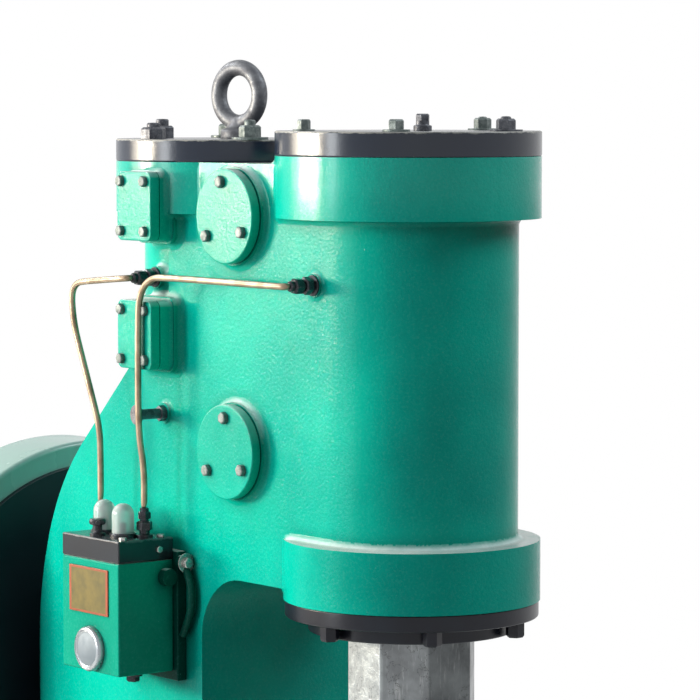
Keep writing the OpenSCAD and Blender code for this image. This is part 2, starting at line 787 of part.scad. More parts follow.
// Oil pipe from the lubricator to the compressor cylinder.
rear_route = [[-wall_x - union_reach, rear_oil_y, rear_oil_z], [rear_pipe_x, rear_oil_y, rear_oil_z],
    [rear_pipe_x, rear_oil_y + 121, rear_oil_z - 10], [rear_pipe_x, rear_oil_y + 117, rear_oil_z - 60],
    [rear_pipe_x + 2, rear_union[1] - 4, support_z - 20],
    [rear_union[0], rear_union[1], lub_top + 92], [rear_union[0], rear_union[1], lub_top + union_h]];

module front_oil_pipe() {
    color([0.66, 0.47, 0.35]) tube(eased(front_route, front_pipe_bend), oil_pipe_d / 2);
}

module rear_oil_pipe() {
    color([0.66, 0.47, 0.35]) tube(eased(rear_route, pipe_bend), oil_pipe_d / 2);
}

// Unions that screw into the frame where the oil pipes end.
module wall_unions() {
    color([0.13, 0.13, 0.14]) {
        wall_union(front_oil_y, front_oil_z);
        wall_union(rear_oil_y, rear_oil_z);
    }
}

module wall_union(y, z) {
    union() {
        x_disc(-wall_x - 4, -wall_x - union_reach, y, z, 7);
        translate([-wall_x - 26, y, z]) rotate([0, 90, 0]) cylinder(r = 11.5, h = 18, $fn = 6);
    }
}

// Stud with a disc end that steadies the front oil pipe.
module pipe_support() {
    disc_x = pipe_run_x + oil_pipe_d / 2 + gap;
    color([0.13, 0.14, 0.14]) union() {
        x_disc(-wall_x - 4, disc_x, support_y, support_z, 6.5);
        x_disc(disc_x + 3, disc_x, support_y, support_z, 12.5);
        translate([-wall_x - 11, support_y, support_z]) rotate([0, 90, 0]) cylinder(r = 10, h = 7, $fn = 6);
    }
}

// Round door over the crank, on its raised seat.
module crankcase_door(s) {
    color([0.05, 0.6, 0.48]) on_door_seat(s) translate([0, 0, door_seat_h]) cylinder(r = door_r, h = door_t);
}

// Outline of the belt guard in X and Z, drawn in by inset: two round ends joined by tangents.
module guard_outline(inset) {
    tilt = asin((guard_r - guard_foot_r) / (crank_z - motor_z));
    polygon(concat(arc([0, crank_z], guard_r - inset, -tilt, 180 + tilt, 48),
        arc([0, motor_z], guard_foot_r - inset, 180 + tilt, 360 - tilt, 24)));
}

// Housing of the crankshaft's rear bearing, on the frame's rear wall.
module rear_bearing_housing() {
    color([0.05, 0.5, 0.4]) union() {
        y_disc(frame_rear, frame_rear + bearing_cap_t, 0, crank_z, bearing_r + 15);
        y_disc(frame_rear, guard_y, 0, crank_z, bearing_r);
    }
}

// Two stays between the frame's rear wall and the belt guard.
module guard_stays() {
    color([0.3, 0.32, 0.33]) for (s = [-1, 1])
        y_disc(frame_rear, guard_y, s * stay_place[0], stay_place[1], stay_r);
}

module belt_guard() {
    color([0.1, 0.3, 0.27]) union() {
        translate([0, guard_y + guard_w, 0]) rotate([90, 0, 0])
            linear_extrude(guard_w - guard_step) guard_outline(0);
        translate([0, guard_y + guard_w / 2, 0]) rotate([90, 0, 0])
            linear_extrude(guard_w / 2) guard_outline(guard_shoulder);
    }
}

// Bed of two channels and three cross bars that carries the motor.
module motor_bed() {
    color([0.1, 0.35, 0.3]) union() {
        for (s = [-1, 1])
            translate([s * (bed_half - 25) - 25, frame_rear, 0]) cube([50, bed_rear - frame_rear, bed_h]);
        for (y = [frame_rear, motor_y + 20, motor_y + motor_l - 60])
            translate([-bed_half + 40, y, 0]) cube([2 * bed_half - 80, 50, bed_h]);
    }
}

module motor_body() {
    color([0.12, 0.45, 0.4]) union() {
        y_disc(motor_y, motor_y + motor_l, 0, motor_z, motor_r);
        y_disc(guard_y + guard_w, motor_y, 0, motor_z, 30);
        for (s = [-1, 1])
            translate([s * 85 - 30, motor_y + 25, bed_h]) cube([60, motor_l - 55, 26]);
        translate([-80, motor_y + 30, bed_h + 10]) cube([160, motor_l - 65, 40]);
    }
}

module motor_cowl() {
    color([0.1, 0.38, 0.34]) y_disc(motor_y + motor_l, motor_y + motor_l + 75, 0, motor_z, motor_r - 3);
}

module motor_terminal_box() {
    color([0.12, 0.45, 0.4]) translate([-50, motor_y + 60, motor_z + motor_r - 4]) difference() {
        cube([100, 90, 56]);
        translate([50, -seam, 4 - motor_r]) rotate([-90, 0, 0]) cylinder(r = motor_r, h = 92);
    }
}

frame();
ram_cylinder_cover();
compressor_cover();
lifting_eye();
gland_ring();
ram();
upper_die();
upper_die_wedge();
anvil_block();
lower_die();
lower_die_wedge();
valve_cover(upper_valve_z);  // upper_valve_cover
valve_cover(lower_valve_z);  // lower_valve_cover
port_cap(upper_port_z);  // upper_port_cap
port_cap(lower_port_z);  // lower_port_cap
valve_bonnet(upper_valve_z, lever_t + 4);  // upper_valve_bonnet
valve_bonnet(lower_valve_z, lever_t + 4);  // lower_valve_bonnet
upper_valve_handle();
lower_valve_lever();
link_rod();
treadle();
treadle_pins();
lubricator_body();
lubricator_lid();
lubricator_sight_domes();
lubricator_window();
lubricator_plate();
lubricator_filler();
lubricator_unions();
lubricator_bracket();
lubricator_crank();
front_oil_pipe();
rear_oil_pipe();
wall_unions();
pipe_support();
crankcase_door(-1);  // left_crankcase_door
crankcase_door(1);  // right_crankcase_door
rear_bearing_housing();
guard_stays();
belt_guard();
motor_bed();
motor_body();
motor_cowl();
motor_terminal_box();
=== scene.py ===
"""Finished looks of a 40 kg pneumatic forging hammer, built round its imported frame.

Every sub-assembly is a class that models its pieces in millimetres, dresses them in the finish of the real
material, and hands them to the body that they move with. The front faces -Y and +Z is up.
"""

import logging
import math
from dataclasses import dataclass, field
from enum import Enum

import bmesh
import bpy
from mathutils import Matrix, Vector


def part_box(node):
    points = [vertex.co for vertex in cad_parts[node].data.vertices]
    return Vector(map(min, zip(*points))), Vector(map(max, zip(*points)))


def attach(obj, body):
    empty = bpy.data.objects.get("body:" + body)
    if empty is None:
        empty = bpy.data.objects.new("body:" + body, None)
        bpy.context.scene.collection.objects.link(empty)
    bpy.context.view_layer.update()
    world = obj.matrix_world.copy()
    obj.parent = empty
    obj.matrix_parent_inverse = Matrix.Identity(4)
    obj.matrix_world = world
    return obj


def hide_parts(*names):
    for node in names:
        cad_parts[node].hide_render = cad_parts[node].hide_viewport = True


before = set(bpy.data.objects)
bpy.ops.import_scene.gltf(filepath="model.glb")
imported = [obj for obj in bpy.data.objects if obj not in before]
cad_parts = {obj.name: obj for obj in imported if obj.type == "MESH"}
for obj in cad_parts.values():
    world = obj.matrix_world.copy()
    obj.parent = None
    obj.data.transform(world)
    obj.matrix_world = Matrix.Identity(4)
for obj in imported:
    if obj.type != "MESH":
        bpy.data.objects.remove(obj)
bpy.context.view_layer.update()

log = logging.getLogger("hammer")

Point = tuple[float, float, float]
Pair = tuple[float, float]
Colour = tuple[float, float, float, float]
Tree = bpy.types.NodeTree
Node = bpy.types.Node
Socket = bpy.types.NodeSocket
Mesh = bpy.types.Mesh
Bench = bmesh.types.BMesh
MIXED_COLOUR = 2
"""Number of the colour result among a mix node's outputs."""
PAINT_IOR = 1.5
"""Refractive index of paint."""

HEIGHT = 1580.0
"""Top of the ram cylinder's cover."""
REAR_TOP = 1568.0
"""Top of the compressor's cover."""
HEAD_BOTTOM = 1018.0
PITCH = 350.0
"""Distance between the two cylinders' axes."""
WALL_X = 128.0
GUARD_Y = 689.0
CRANK_Z = 858.0
MOTOR_Y = 816.0
MOTOR_Z = 182.0
LUB_TOP = 1073.0
LUB_Y = 297.0
UPPER_VALVE_Z = 1476.0
LOWER_VALVE_Z = 1189.0
SHARP_DEGREES = 38.0
"""Angle past which an edge is shaded sharp."""


class Body(Enum):
    """The two bodies that pieces move with."""

    FRAME = "frame"
    RAM = "ram"


class Slot(Enum):
    """The record's material slots."""

    CASTING = "sea_green_enamel"
    COVER = "black_cover_paint"
    ZINC = "galvanised_steel"
    RAM = "ground_ram_steel"
    DIE = "forged_die_steel"
    FITTING = "black_fitting_steel"
    TREADLE = "treadle_paint"
    PIN = "bare_pin_steel"
    DOME = "clear_dome_plastic"
    RIM = "chromed_window_rim"
    PLATE = "brass_plate"
    COPPER = "copper_oil_pipe"
    GUARD = "guard_paint"
    MOTOR = "motor_paint"


def linear(hex_colour: str) -> Colour:
    """Turn an sRGB hex colour into the linear colour that shaders take.

    Args:
        hex_colour: Six hex digits.

    Returns:
        Linear red, green and blue, and an alpha of one.
    """
    parts = [int(hex_colour[i : i + 2], 16) / 255 for i in (0, 2, 4)]
    straight = [c / 12.92 if c <= 0.04045 else ((c + 0.055) / 1.055) ** 2.4 for c in parts]
    return (straight[0], straight[1], straight[2], 1.0)


def put(tree: Tree, kind: str, inputs: dict | None = None, **settings: object) -> Node:
    """Add one shader node with its settings, values and links.

    Args:
        tree: The node tree to add to.
        kind: The node's type without its ShaderNode prefix.
        inputs: Socket name or number to a number, to a colour in sRGB hex, or to the socket or node that feeds it.
        **settings: Properties of the node itself.

    Returns:
        The new node.
    """
    made = tree.nodes.new("ShaderNode" + kind)
    for key, value in settings.items():
        setattr(made, key, value)
    for key, value in (inputs or {}).items():
        if isinstance(value, str):
            value = linear(value)
        if isinstance(value, Node):
            value = value.outputs[MIXED_COLOUR if value.bl_idname == "ShaderNodeMix" else 0]
        if isinstance(value, Socket):
            tree.links.new(value, made.inputs[key])
        else:
            made.inputs[key].default_value = value
    return made


def seen(tree: Tree) -> Node:
    """Tell the rays that the surroundings are seen by from the rest.

    Args:
        tree: The node tree.

    Returns:
        A node that gives 1 to camera, transmission and glossy rays, and 0 to the rest.
    """
    path = put(tree, "LightPath").outputs
    direct = put(tree, "Math", {0: path["Is Camera Ray"], 1: path["Is Transmission Ray"]}, operation="MAXIMUM")
    return put(tree, "Math", {0: direct, 1: path["Is Glossy Ray"]}, operation="MAXIMUM")


@dataclass(frozen=True)
class Finish:
    """One real material with its surface, made once and shared by the pieces that have it."""

    name: str

    def material(self) -> bpy.types.Material:
        """Give the finish's material, building it the first time.

        Returns:
            The material.
        """
        found = bpy.data.materials.get(self.name)
        if found:
            return found
        made = bpy.data.materials.new(self.name)
        made.use_nodes = True
        made.node_tree.nodes.clear()
        self.dress(made.node_tree)
        return made

    def dress(self, tree: Tree) -> None:
        """Fill the material's node tree; each finish does it in its own way.

        Args:
            tree: The empty node tree.
        """
        raise NotImplementedError

    def close(self, tree: Tree, shader: Node) -> None:
        """Link the finished shader to the material's output.

        Args:
            tree: The material's node tree.
            shader: The shader node.
        """
        put(tree, "OutputMaterial", {"Surface": shader})


@dataclass(frozen=True)
class CastEnamel(Finish):
    """Gloss alkyd enamel brushed over sand-cast iron: the sand's grain shows through as fine bumps.

    The paint gives a saturated colour and a clear gloss that the grain breaks into small glints.
    """

    colour: str = "00C3AA"
    deep: str = "00AB98"
    speck_and_glint: str = "8FE6D6"
    gloss: float = 0.12
    mirror: float = 0.062
    grain_mm: float = 4.0
    grain_depth_mm: float = 0.58
    wave_mm: float = 38.0
    wave_depth_mm: float = 0.5
    specks_and_glints: float = 0.13
    fillet_highlights: float = 0.8
    collar_gloss: float = 0.36
    # where its marks lie on the machine, in metres: each fades in from the first height or depth to the second
    guard_shadow_y: Pair = (0.588, 0.642)
    guard_shadow_z: Pair = (1.1, 1.0)
    dust_z: Pair = (0.9, 1.03)
    fillet_highlight_y: Pair = (0.46, 0.42)
    fillet_highlight_z: Pair = (0.95, 1.0)
    collar_z: Pair = (1.465, 1.515)
    corner_shade_m: float = 0.024

    def dress(self, tree: Tree) -> None:
        """Build colour drift, paint specks, grain and brushed waves, with painted shade, a painted shadow and painted
        highlights.

        Args:
            tree: The empty node tree.
        """
        at = put(tree, "TexCoord").outputs["Object"]
        drift = put(tree, "TexNoise", {"Vector": at, "Scale": 1000 / 180, "Detail": 4.0, "Roughness": 0.6})
        share = put(tree, "MapRange", {"Value": drift, 1: 0.35, 2: 0.68})
        body = put(tree, "Mix", {0: share, 6: self.colour, 7: self.deep}, data_type="RGBA")
        # pale grit and overspray caught in the paint, about 1.3 mm across; the specks are also painted glints
        grit = put(tree, "TexVoronoi", {"Vector": at, "Scale": 1000 / 5.5}, feature="F1")
        near = put(tree, "MapRange", {"Value": grit.outputs["Distance"], 1: 0.17, 2: 0.06},
                   interpolation_type="SMOOTHSTEP")
        some = put(tree, "SeparateColor", {0: grit.outputs["Color"]})
        rare = put(tree, "MapRange", {"Value": some.outputs[0], 1: 0.8, 2: 0.95})
        dot = put(tree, "Math", {0: near, 1: rare}, operation="MULTIPLY")
        faint = put(tree, "Math", {0: dot, 1: self.specks_and_glints}, operation="MULTIPLY")
        top = put(tree, "Mix", {0: faint, 6: body, 7: self.speck_and_glint}, data_type="RGBA")
        # pale and dark spots over the sand's grain: the pale ones are painted glints, the dark ones only darken the
        # colour in spots
        salt = put(tree, "TexNoise", {"Vector": at, "Scale": 1000 / 3.4, "Detail": 3.0, "Roughness": 0.7})
        glint_spots = put(tree, "MapRange", {"Value": salt, 1: 0.5, 2: 0.78, 3: 0.0, 4: 0.1})
        top = put(tree, "Mix", {0: glint_spots, 6: top, 7: self.speck_and_glint}, data_type="RGBA")
        pits = put(tree, "MapRange", {"Value": salt, 1: 0.42, 2: 0.25, 3: 0.0, 4: 0.3})
        top = put(tree, "Mix", {0: pits, 6: top, 7: "04806F"}, data_type="RGBA")
        # painted shadow: the rear edge beside the guard, below the head, is darkened where the guard's shadow falls
        spot = put(tree, "SeparateXYZ", {0: at})
        back = put(tree, "MapRange", {"Value": spot.outputs[1], 1: self.guard_shadow_y[0], 2: self.guard_shadow_y[1], 3: 0.0, 4: 0.85})
        below = put(tree, "MapRange", {"Value": spot.outputs[2], 1: self.guard_shadow_z[0], 2: self.guard_shadow_z[1]})
        mist = put(tree, "Math", {0: back, 1: below}, operation="MULTIPLY")
        top = put(tree, "Mix", {0: mist, 6: top, 7: "00372F"}, data_type="RGBA")
        # painted shade: the colour darkens in corners and crevices, where shade falls
        corner_shade = put(tree, "AmbientOcclusion", {"Distance": self.corner_shade_m}, samples=4)
        shade = put(tree, "MapRange", {"Value": corner_shade.outputs["AO"], 1: 0.4, 2: 0.93, 3: 0.8, 4: 0.0})
        top = put(tree, "Mix", {0: shade, 6: top, 7: "013F36"}, data_type="RGBA")
        # pale shop dust lies on the faces that look up
        facing = put(tree, "SeparateXYZ", {0: put(tree, "NewGeometry").outputs["Normal"]})
        level = put(tree, "MapRange", {"Value": facing.outputs[2], 1: 0.8, 2: 0.95})
        patchy = put(tree, "TexNoise", {"Vector": at, "Scale": 1000 / 22, "Detail": 5.0, "Roughness": 0.65})
        thick = put(tree, "MapRange", {"Value": patchy, 1: 0.32, 2: 0.6, 3: 0.7, 4: 1.0})
        high = put(tree, "MapRange", {"Value": spot.outputs[2], 1: self.dust_z[0], 2: self.dust_z[1], 3: 0.4, 4: 1.0})
        settled = put(tree, "Math", {0: level, 1: high}, operation="MULTIPLY")
        dust = put(tree, "Math", {0: settled, 1: thick}, operation="MULTIPLY")
        top = put(tree, "Mix", {0: dust, 6: top, 7: "CDD4CE"}, data_type="RGBA")
        # painted highlight: the fillets that look up, about the head, are painted near white
        lean = put(tree, "MapRange", {"Value": facing.outputs[2], 1: 0.2, 2: 0.75})
        flat = put(tree, "MapRange", {"Value": facing.outputs[2], 1: 0.95, 2: 0.85})
        head = put(tree, "MapRange", {"Value": spot.outputs[1], 1: self.fillet_highlight_y[0], 2: self.fillet_highlight_y[1]})
        place = put(tree, "MapRange", {"Value": spot.outputs[2], 1: self.fillet_highlight_z[0], 2: self.fillet_highlight_z[1], 3: 0.0,
                                       4: self.fillet_highlights})
        band = put(tree, "Math", {0: lean, 1: flat}, operation="MULTIPLY")
        near = put(tree, "Math", {0: head, 1: place}, operation="MULTIPLY")
        full = put(tree, "Math", {0: band, 1: near}, operation="MULTIPLY")
        fillet_highlight = put(tree, "Math", {0: full, 1: thick}, operation="MULTIPLY")
        top = put(tree, "Mix", {0: fillet_highlight, 6: top, 7: "EFF8F4"}, data_type="RGBA")
        grain = put(tree, "TexNoise", {"Vector": at, "Scale": 1000 / self.grain_mm, "Detail": 3.0, "Roughness": 0.68})
        wave = put(tree, "TexNoise", {"Vector": at, "Scale": 1000 / self.wave_mm, "Detail": 2.0, "Roughness": 0.5})
        wavy = put(tree, "Bump", {"Height": wave, "Distance": self.wave_depth_mm / 1000, "Strength": 1.0})
        sandy = put(tree, "Bump", {"Height": grain, "Distance": self.grain_depth_mm / 1000, "Strength": 1.0,
                                   "Normal": wavy})
        lumps = put(tree, "Bump", {"Height": dot, "Distance": 0.0002, "Strength": 1.0, "Normal": sandy})
        dull = put(tree, "MapRange", {"Value": wave, 1: 0.3, 2: 0.7, 3: self.gloss - 0.03, 4: self.gloss + 0.05})
        # the turned collars were rubbed down and took the paint smoothly
        rubbed = put(tree, "MapRange", {"Value": spot.outputs[2], 1: self.collar_z[0], 2: self.collar_z[1], 3: 0.0,
                                        4: self.collar_gloss})
        self.close(tree, put(tree, "BsdfPrincipled", {
            "Base Color": top, "Roughness": dull, "IOR": PAINT_IOR, "Specular IOR Level": self.mirror,
            "Normal": lumps, "Coat Weight": rubbed, "Coat Roughness": 0.19, "Coat IOR": PAINT_IOR,
            "Coat Normal": wavy}))


@dataclass(frozen=True)
class CoverPaint(Finish):
    """Black gloss paint on turned cast iron, rubbed through to grey metal along the upper edge.

    The turned rim mirrors the room in upright bands, with a faint blue cast.
    """

    colour: str = "0B1B30"
    worn: str = "A3A19A"
    edge_z_mm: float = HEIGHT
    rubbed_mm: float = 6.5
    gloss: float = 0.22
    mirror: float = 0.5

    def dress(self, tree: Tree) -> None:
        """Build the dark coat, the rubbed upper edge and light dust on top.

        Args:
            tree: The empty node tree.
        """
        at = put(tree, "TexCoord").outputs["Object"]
        ragged = put(tree, "TexNoise", {"Vector": at, "Scale": 1000 / 14, "Detail": 5.0, "Roughness": 0.65})
        place = put(tree, "SeparateXYZ", {0: at})
        low = (self.edge_z_mm - self.rubbed_mm) / 1000
        rise = put(tree, "MapRange", {"Value": place.outputs[2], 1: low, 2: self.edge_z_mm / 1000 + 0.0005})
        both = put(tree, "Math", {0: rise, 1: ragged}, operation="ADD")
        bare = put(tree, "MapRange", {"Value": both, 1: 1.05, 2: 1.3}, interpolation_type="SMOOTHSTEP")
        smear = put(tree, "TexNoise", {"Vector": at, "Scale": 1000 / 60, "Detail": 3.0})
        # the top face keeps its paint, rubbed only in patches
        facing = put(tree, "SeparateXYZ", {0: put(tree, "NewGeometry").outputs["Normal"]})
        rim = put(tree, "MapRange", {"Value": facing.outputs[2], 1: 0.85, 2: 0.98, 3: 1.0, 4: 0.0})
        patch = put(tree, "MapRange", {"Value": smear, 1: 0.5, 2: 0.7, 3: 0.06, 4: 0.5})
        share = put(tree, "Math", {0: rim, 1: patch}, operation="MAXIMUM")
        bare = put(tree, "Math", {0: bare, 1: share}, operation="MULTIPLY")
        haze = put(tree, "MapRange", {"Value": smear, 1: 0.42, 2: 0.75, 3: 0.0, 4: 0.35})
        coat = put(tree, "Mix", {0: haze, 6: self.colour, 7: "24303C"}, data_type="RGBA")
        skin = put(tree, "Mix", {0: bare, 6: coat, 7: self.worn}, data_type="RGBA")
        rough = put(tree, "MapRange", {"Value": bare, 3: self.gloss, 4: 0.42})
        fine = put(tree, "TexNoise", {"Vector": at, "Scale": 1000 / 9, "Detail": 3.0})
        bump = put(tree, "Bump", {"Height": fine, "Distance": 0.00012, "Strength": 1.0})
        self.close(tree, put(tree, "BsdfPrincipled", {"Base Color": skin, "Roughness": rough, "IOR": PAINT_IOR,
                                                      "Specular IOR Level": self.mirror, "Normal": bump}))


@dataclass(frozen=True)
class SmoothEnamel(Finish):
    """Sprayed gloss enamel on sheet or turned steel, with light orange peel and scuffs.

    The coat is even in colour, and its peel softens what it mirrors.
    """

    colour: str = "0E4A40"
    scuff: str = "5C8078"
    gloss: float = 0.25
    mirror: float = 0.35
    wear: float = 0.5
    peel_depth_mm: float = 0.08

    def dress(self, tree: Tree) -> None:
        """Build the coat, thin scuffs and peel.

        Args:
            tree: The empty node tree.
        """
        at = put(tree, "TexCoord").outputs["Object"]
        cloud = put(tree, "TexNoise", {"Vector": at, "Scale": 1000 / 140, "Detail": 4.0})
        drawn = put(tree, "Mapping", {"Vector": at, "Scale": (9.0, 55.0, 14.0), "Rotation": (0.4, 0.2, 0.5)})
        streak = put(tree, "TexNoise", {"Vector": drawn, "Scale": 6.0, "Detail": 6.0, "Roughness": 0.7})
        worn = put(tree, "MapRange", {"Value": streak, 1: 0.62, 2: 0.74, 3: 0.0, 4: self.wear})
        skin = put(tree, "Mix", {0: worn, 6: self.colour, 7: self.scuff}, data_type="RGBA")
        rough = put(tree, "MapRange", {"Value": cloud, 1: 0.3, 2: 0.7, 3: self.gloss - 0.05, 4: self.gloss + 0.12})
        peel = put(tree, "TexNoise", {"Vector": at, "Scale": 1000 / 6, "Detail": 2.0})
        bump = put(tree, "Bump", {"Height": peel, "Distance": self.peel_depth_mm / 1000, "Strength": 1.0})
        self.close(tree, put(tree, "BsdfPrincipled", {"Base Color": skin, "Roughness": rough, "IOR": PAINT_IOR,
                                                      "Specular IOR Level": self.mirror, "Normal": bump}))


@dataclass(frozen=True)
class BareSteel(Finish):
    """Steel without paint: zinc-dipped, ground or forged, by its colours and marks.

    Zinc gives a grey with cloudy spangle, grinding gives fine scratches along one way, and forging gives
    dark scale with rubbed high spots.
    """

    light: str = "A3A4A6"
    dark: str = "6E6F72"
    metal: float = 0.85
    gloss: float = 0.38
    mottle_mm: float = 12.0
    scratch: Point = (1.0, 1.0, 1.0)
    scratch_mm: float = 2.0
    scratch_depth_mm: float = 0.05
    scratch_share: float = 0.3
    chips: float = 0.0
    # the ram's left flat, where pale patches also paint the light on it, and its front flat, painted in shade, in
    # metres
    lit_flat_x: Pair = (-0.07, -0.073)
    shaded_flat_y: Pair = (-0.0705, -0.0725)

    def dress(self, tree: Tree) -> None:
        """Build mottled tone, directional scratches and pitting.

        Args:
            tree: The empty node tree.
        """
        at = put(tree, "TexCoord").outputs["Object"]
        mottle = put(tree, "TexNoise", {"Vector": at, "Scale": 1000 / self.mottle_mm, "Detail": 5.0, "Roughness": 0.6})
        tone = put(tree, "MapRange", {"Value": mottle, 1: 0.36, 2: 0.66})
        base = put(tree, "Mix", {0: tone, 6: self.dark, 7: self.light}, data_type="RGBA")
        drawn = put(tree, "Mapping", {"Vector": at, "Scale": self.scratch})
        lines = put(tree, "TexNoise", {"Vector": drawn, "Scale": 1000 / self.scratch_mm, "Detail": 3.0,
                                       "Roughness": 0.7})
        mark = put(tree, "MapRange", {"Value": lines, 1: 0.56, 2: 0.72, 3: 0.0, 4: self.scratch_share})
        skin = put(tree, "Mix", {0: mark, 6: base, 7: "E4E4E2"}, data_type="RGBA")
        rough = put(tree, "MapRange", {"Value": mottle, 1: 0.3, 2: 0.7, 3: self.gloss + 0.1, 4: self.gloss - 0.08})
        bump = put(tree, "Bump", {"Height": lines, "Distance": self.scratch_depth_mm / 1000, "Strength": 1.0})
        if self.chips:
            # flaked skin: ragged pale patches with a step at their edges, and a few dark cracks; the patches are full
            # on the left flat and faint elsewhere, so that they also paint the light falling on that flat
            flake = put(tree, "TexNoise", {"Vector": at, "Scale": 1000 / 26, "Detail": 6.0, "Roughness": 0.62,
                                           "Distortion": 0.25})
            place = put(tree, "SeparateXYZ", {0: at})
            side = put(tree, "MapRange", {"Value": place.outputs[0], 1: self.lit_flat_x[0], 2: self.lit_flat_x[1], 3: 0.12,
                                          4: 1.0})
            patch = put(tree, "MapRange", {"Value": flake, 1: 0.5, 2: 0.6, 3: 0.6, 4: 1.0})
            step = put(tree, "Math", {0: patch, 1: side}, operation="MULTIPLY")
            pale = put(tree, "Math", {0: step, 1: self.chips}, operation="MULTIPLY")
            skin = put(tree, "Mix", {0: pale, 6: skin, 7: "C9CFCF"}, data_type="RGBA")
            # painted shade: the front flat is darkened
            front = put(tree, "MapRange", {"Value": place.outputs[1], 1: self.shaded_flat_y[0], 2: self.shaded_flat_y[1], 3: 0.0,
                                           4: 0.45})
            skin = put(tree, "Mix", {0: front, 6: skin, 7: "0F1C1B"}, data_type="RGBA")
            near = put(tree, "Math", {0: flake, 1: 0.43, 2: 0.006}, operation="COMPARE")
            seam = put(tree, "Math", {0: near, 1: self.chips}, operation="MULTIPLY")
            skin = put(tree, "Mix", {0: seam, 6: skin, 7: "3A3B3A"}, data_type="RGBA")
            bump = put(tree, "Bump", {"Height": step, "Distance": 0.0004, "Strength": 1.0, "Normal": bump})
        self.close(tree, put(tree, "BsdfPrincipled", {"Base Color": skin, "Metallic": self.metal, "Roughness": rough,
                                                      "Normal": bump}))


@dataclass(frozen=True)
class CopperTube(Finish):
    """Drawn copper tube, dulled by handling and heat: pinkish tan with darker stains along its length."""

    def dress(self, tree: Tree) -> None:
        """Build the tarnish in patches a few centimetres long.

        Args:
            tree: The empty node tree.
        """
        at = put(tree, "TexCoord").outputs["Object"]
        stain = put(tree, "TexNoise", {"Vector": at, "Scale": 1000 / 45, "Detail": 5.0, "Roughness": 0.65})
        share = put(tree, "MapRange", {"Value": stain, 1: 0.38, 2: 0.66})
        skin = put(tree, "Mix", {0: share, 6: "B9A389", 7: "7A6650"}, data_type="RGBA")
        rough = put(tree, "MapRange", {"Value": stain, 1: 0.3, 2: 0.7, 3: 0.3, 4: 0.48})
        fine = put(tree, "TexNoise", {"Vector": at, "Scale": 1000 / 3, "Detail": 2.0})
        bump = put(tree, "Bump", {"Height": fine, "Distance": 0.00005, "Strength": 1.0})
        self.close(tree, put(tree, "BsdfPrincipled", {"Base Color": skin, "Metallic": 0.5, "Roughness": rough,
                                                      "Normal": bump}))


@dataclass(frozen=True)
class ClearMoulding(Finish):
    """Moulded clear acrylic, milky with age and oil mist: light passes, and the surface keeps bright points."""

    colour: str = "EAF5F1"

    def dress(self, tree: Tree) -> None:
        """Build a mostly clear shell with an uneven milky haze.

        Args:
            tree: The empty node tree.
        """
        at = put(tree, "TexCoord").outputs["Object"]
        mist = put(tree, "TexNoise", {"Vector": at, "Scale": 1000 / 11, "Detail": 3.0})
        rough = put(tree, "MapRange", {"Value": mist, 1: 0.3, 2: 0.7, 3: 0.08, 4: 0.22})
        bump = put(tree, "Bump", {"Height": mist, "Distance": 0.0002, "Strength": 0.6})
        self.close(tree, put(tree, "BsdfPrincipled", {"Base Color": self.colour, "Roughness": rough, "IOR": 1.49,
                                                      "Transmission Weight": 0.5, "Normal": bump}))


@dataclass(frozen=True)
class Chrome(Finish):
    """Bright chromium plate on a turned rim, with fine turning marks."""

    def dress(self, tree: Tree) -> None:
        """Build bright plate with faint rings and fingered haze.

        Args:
            tree: The empty node tree.
        """
        at = put(tree, "TexCoord").outputs["Object"]
        haze = put(tree, "TexNoise", {"Vector": at, "Scale": 1000 / 8, "Detail": 4.0})
        rough = put(tree, "MapRange", {"Value": haze, 1: 0.3, 2: 0.7, 3: 0.22, 4: 0.42})
        bump = put(tree, "Bump", {"Height": haze, "Distance": 0.0001, "Strength": 0.8})
        self.close(tree, put(tree, "BsdfPrincipled", {"Base Color": "A2A7AC", "Metallic": 0.85, "Roughness": rough,
                                                      "Normal": bump}))


@dataclass(frozen=True)
class SightGlass(Finish):
    """Float glass over a pale reservoir: milky grey-green below, paler on top where the room's light is painted on."""

    painted_glare_z: Pair = (0.922, 0.950)

    def dress(self, tree: Tree) -> None:
        """Build the pale, glossy disc: grey below, and paler above, where the room's light is painted on.

        Args:
            tree: The empty node tree.
        """
        at = put(tree, "TexCoord").outputs["Object"]
        place = put(tree, "SeparateXYZ", {0: at})
        swirl = put(tree, "TexNoise", {"Vector": at, "Scale": 1000 / 16, "Detail": 3.0})
        rise = put(tree, "MapRange", {"Value": place.outputs[2], 1: self.painted_glare_z[0], 2: self.painted_glare_z[1]})
        blend = put(tree, "Math", {0: rise, 1: swirl}, operation="MULTIPLY")
        skin = put(tree, "Mix", {0: blend, 6: "7F8A92", 7: "C9D1D6"}, data_type="RGBA")
        bump = put(tree, "Bump", {"Height": swirl, "Distance": 0.0003, "Strength": 0.5})
        self.close(tree, put(tree, "BsdfPrincipled", {"Base Color": skin, "Roughness": 0.08, "IOR": 1.52,
                                                      "Normal": bump}))


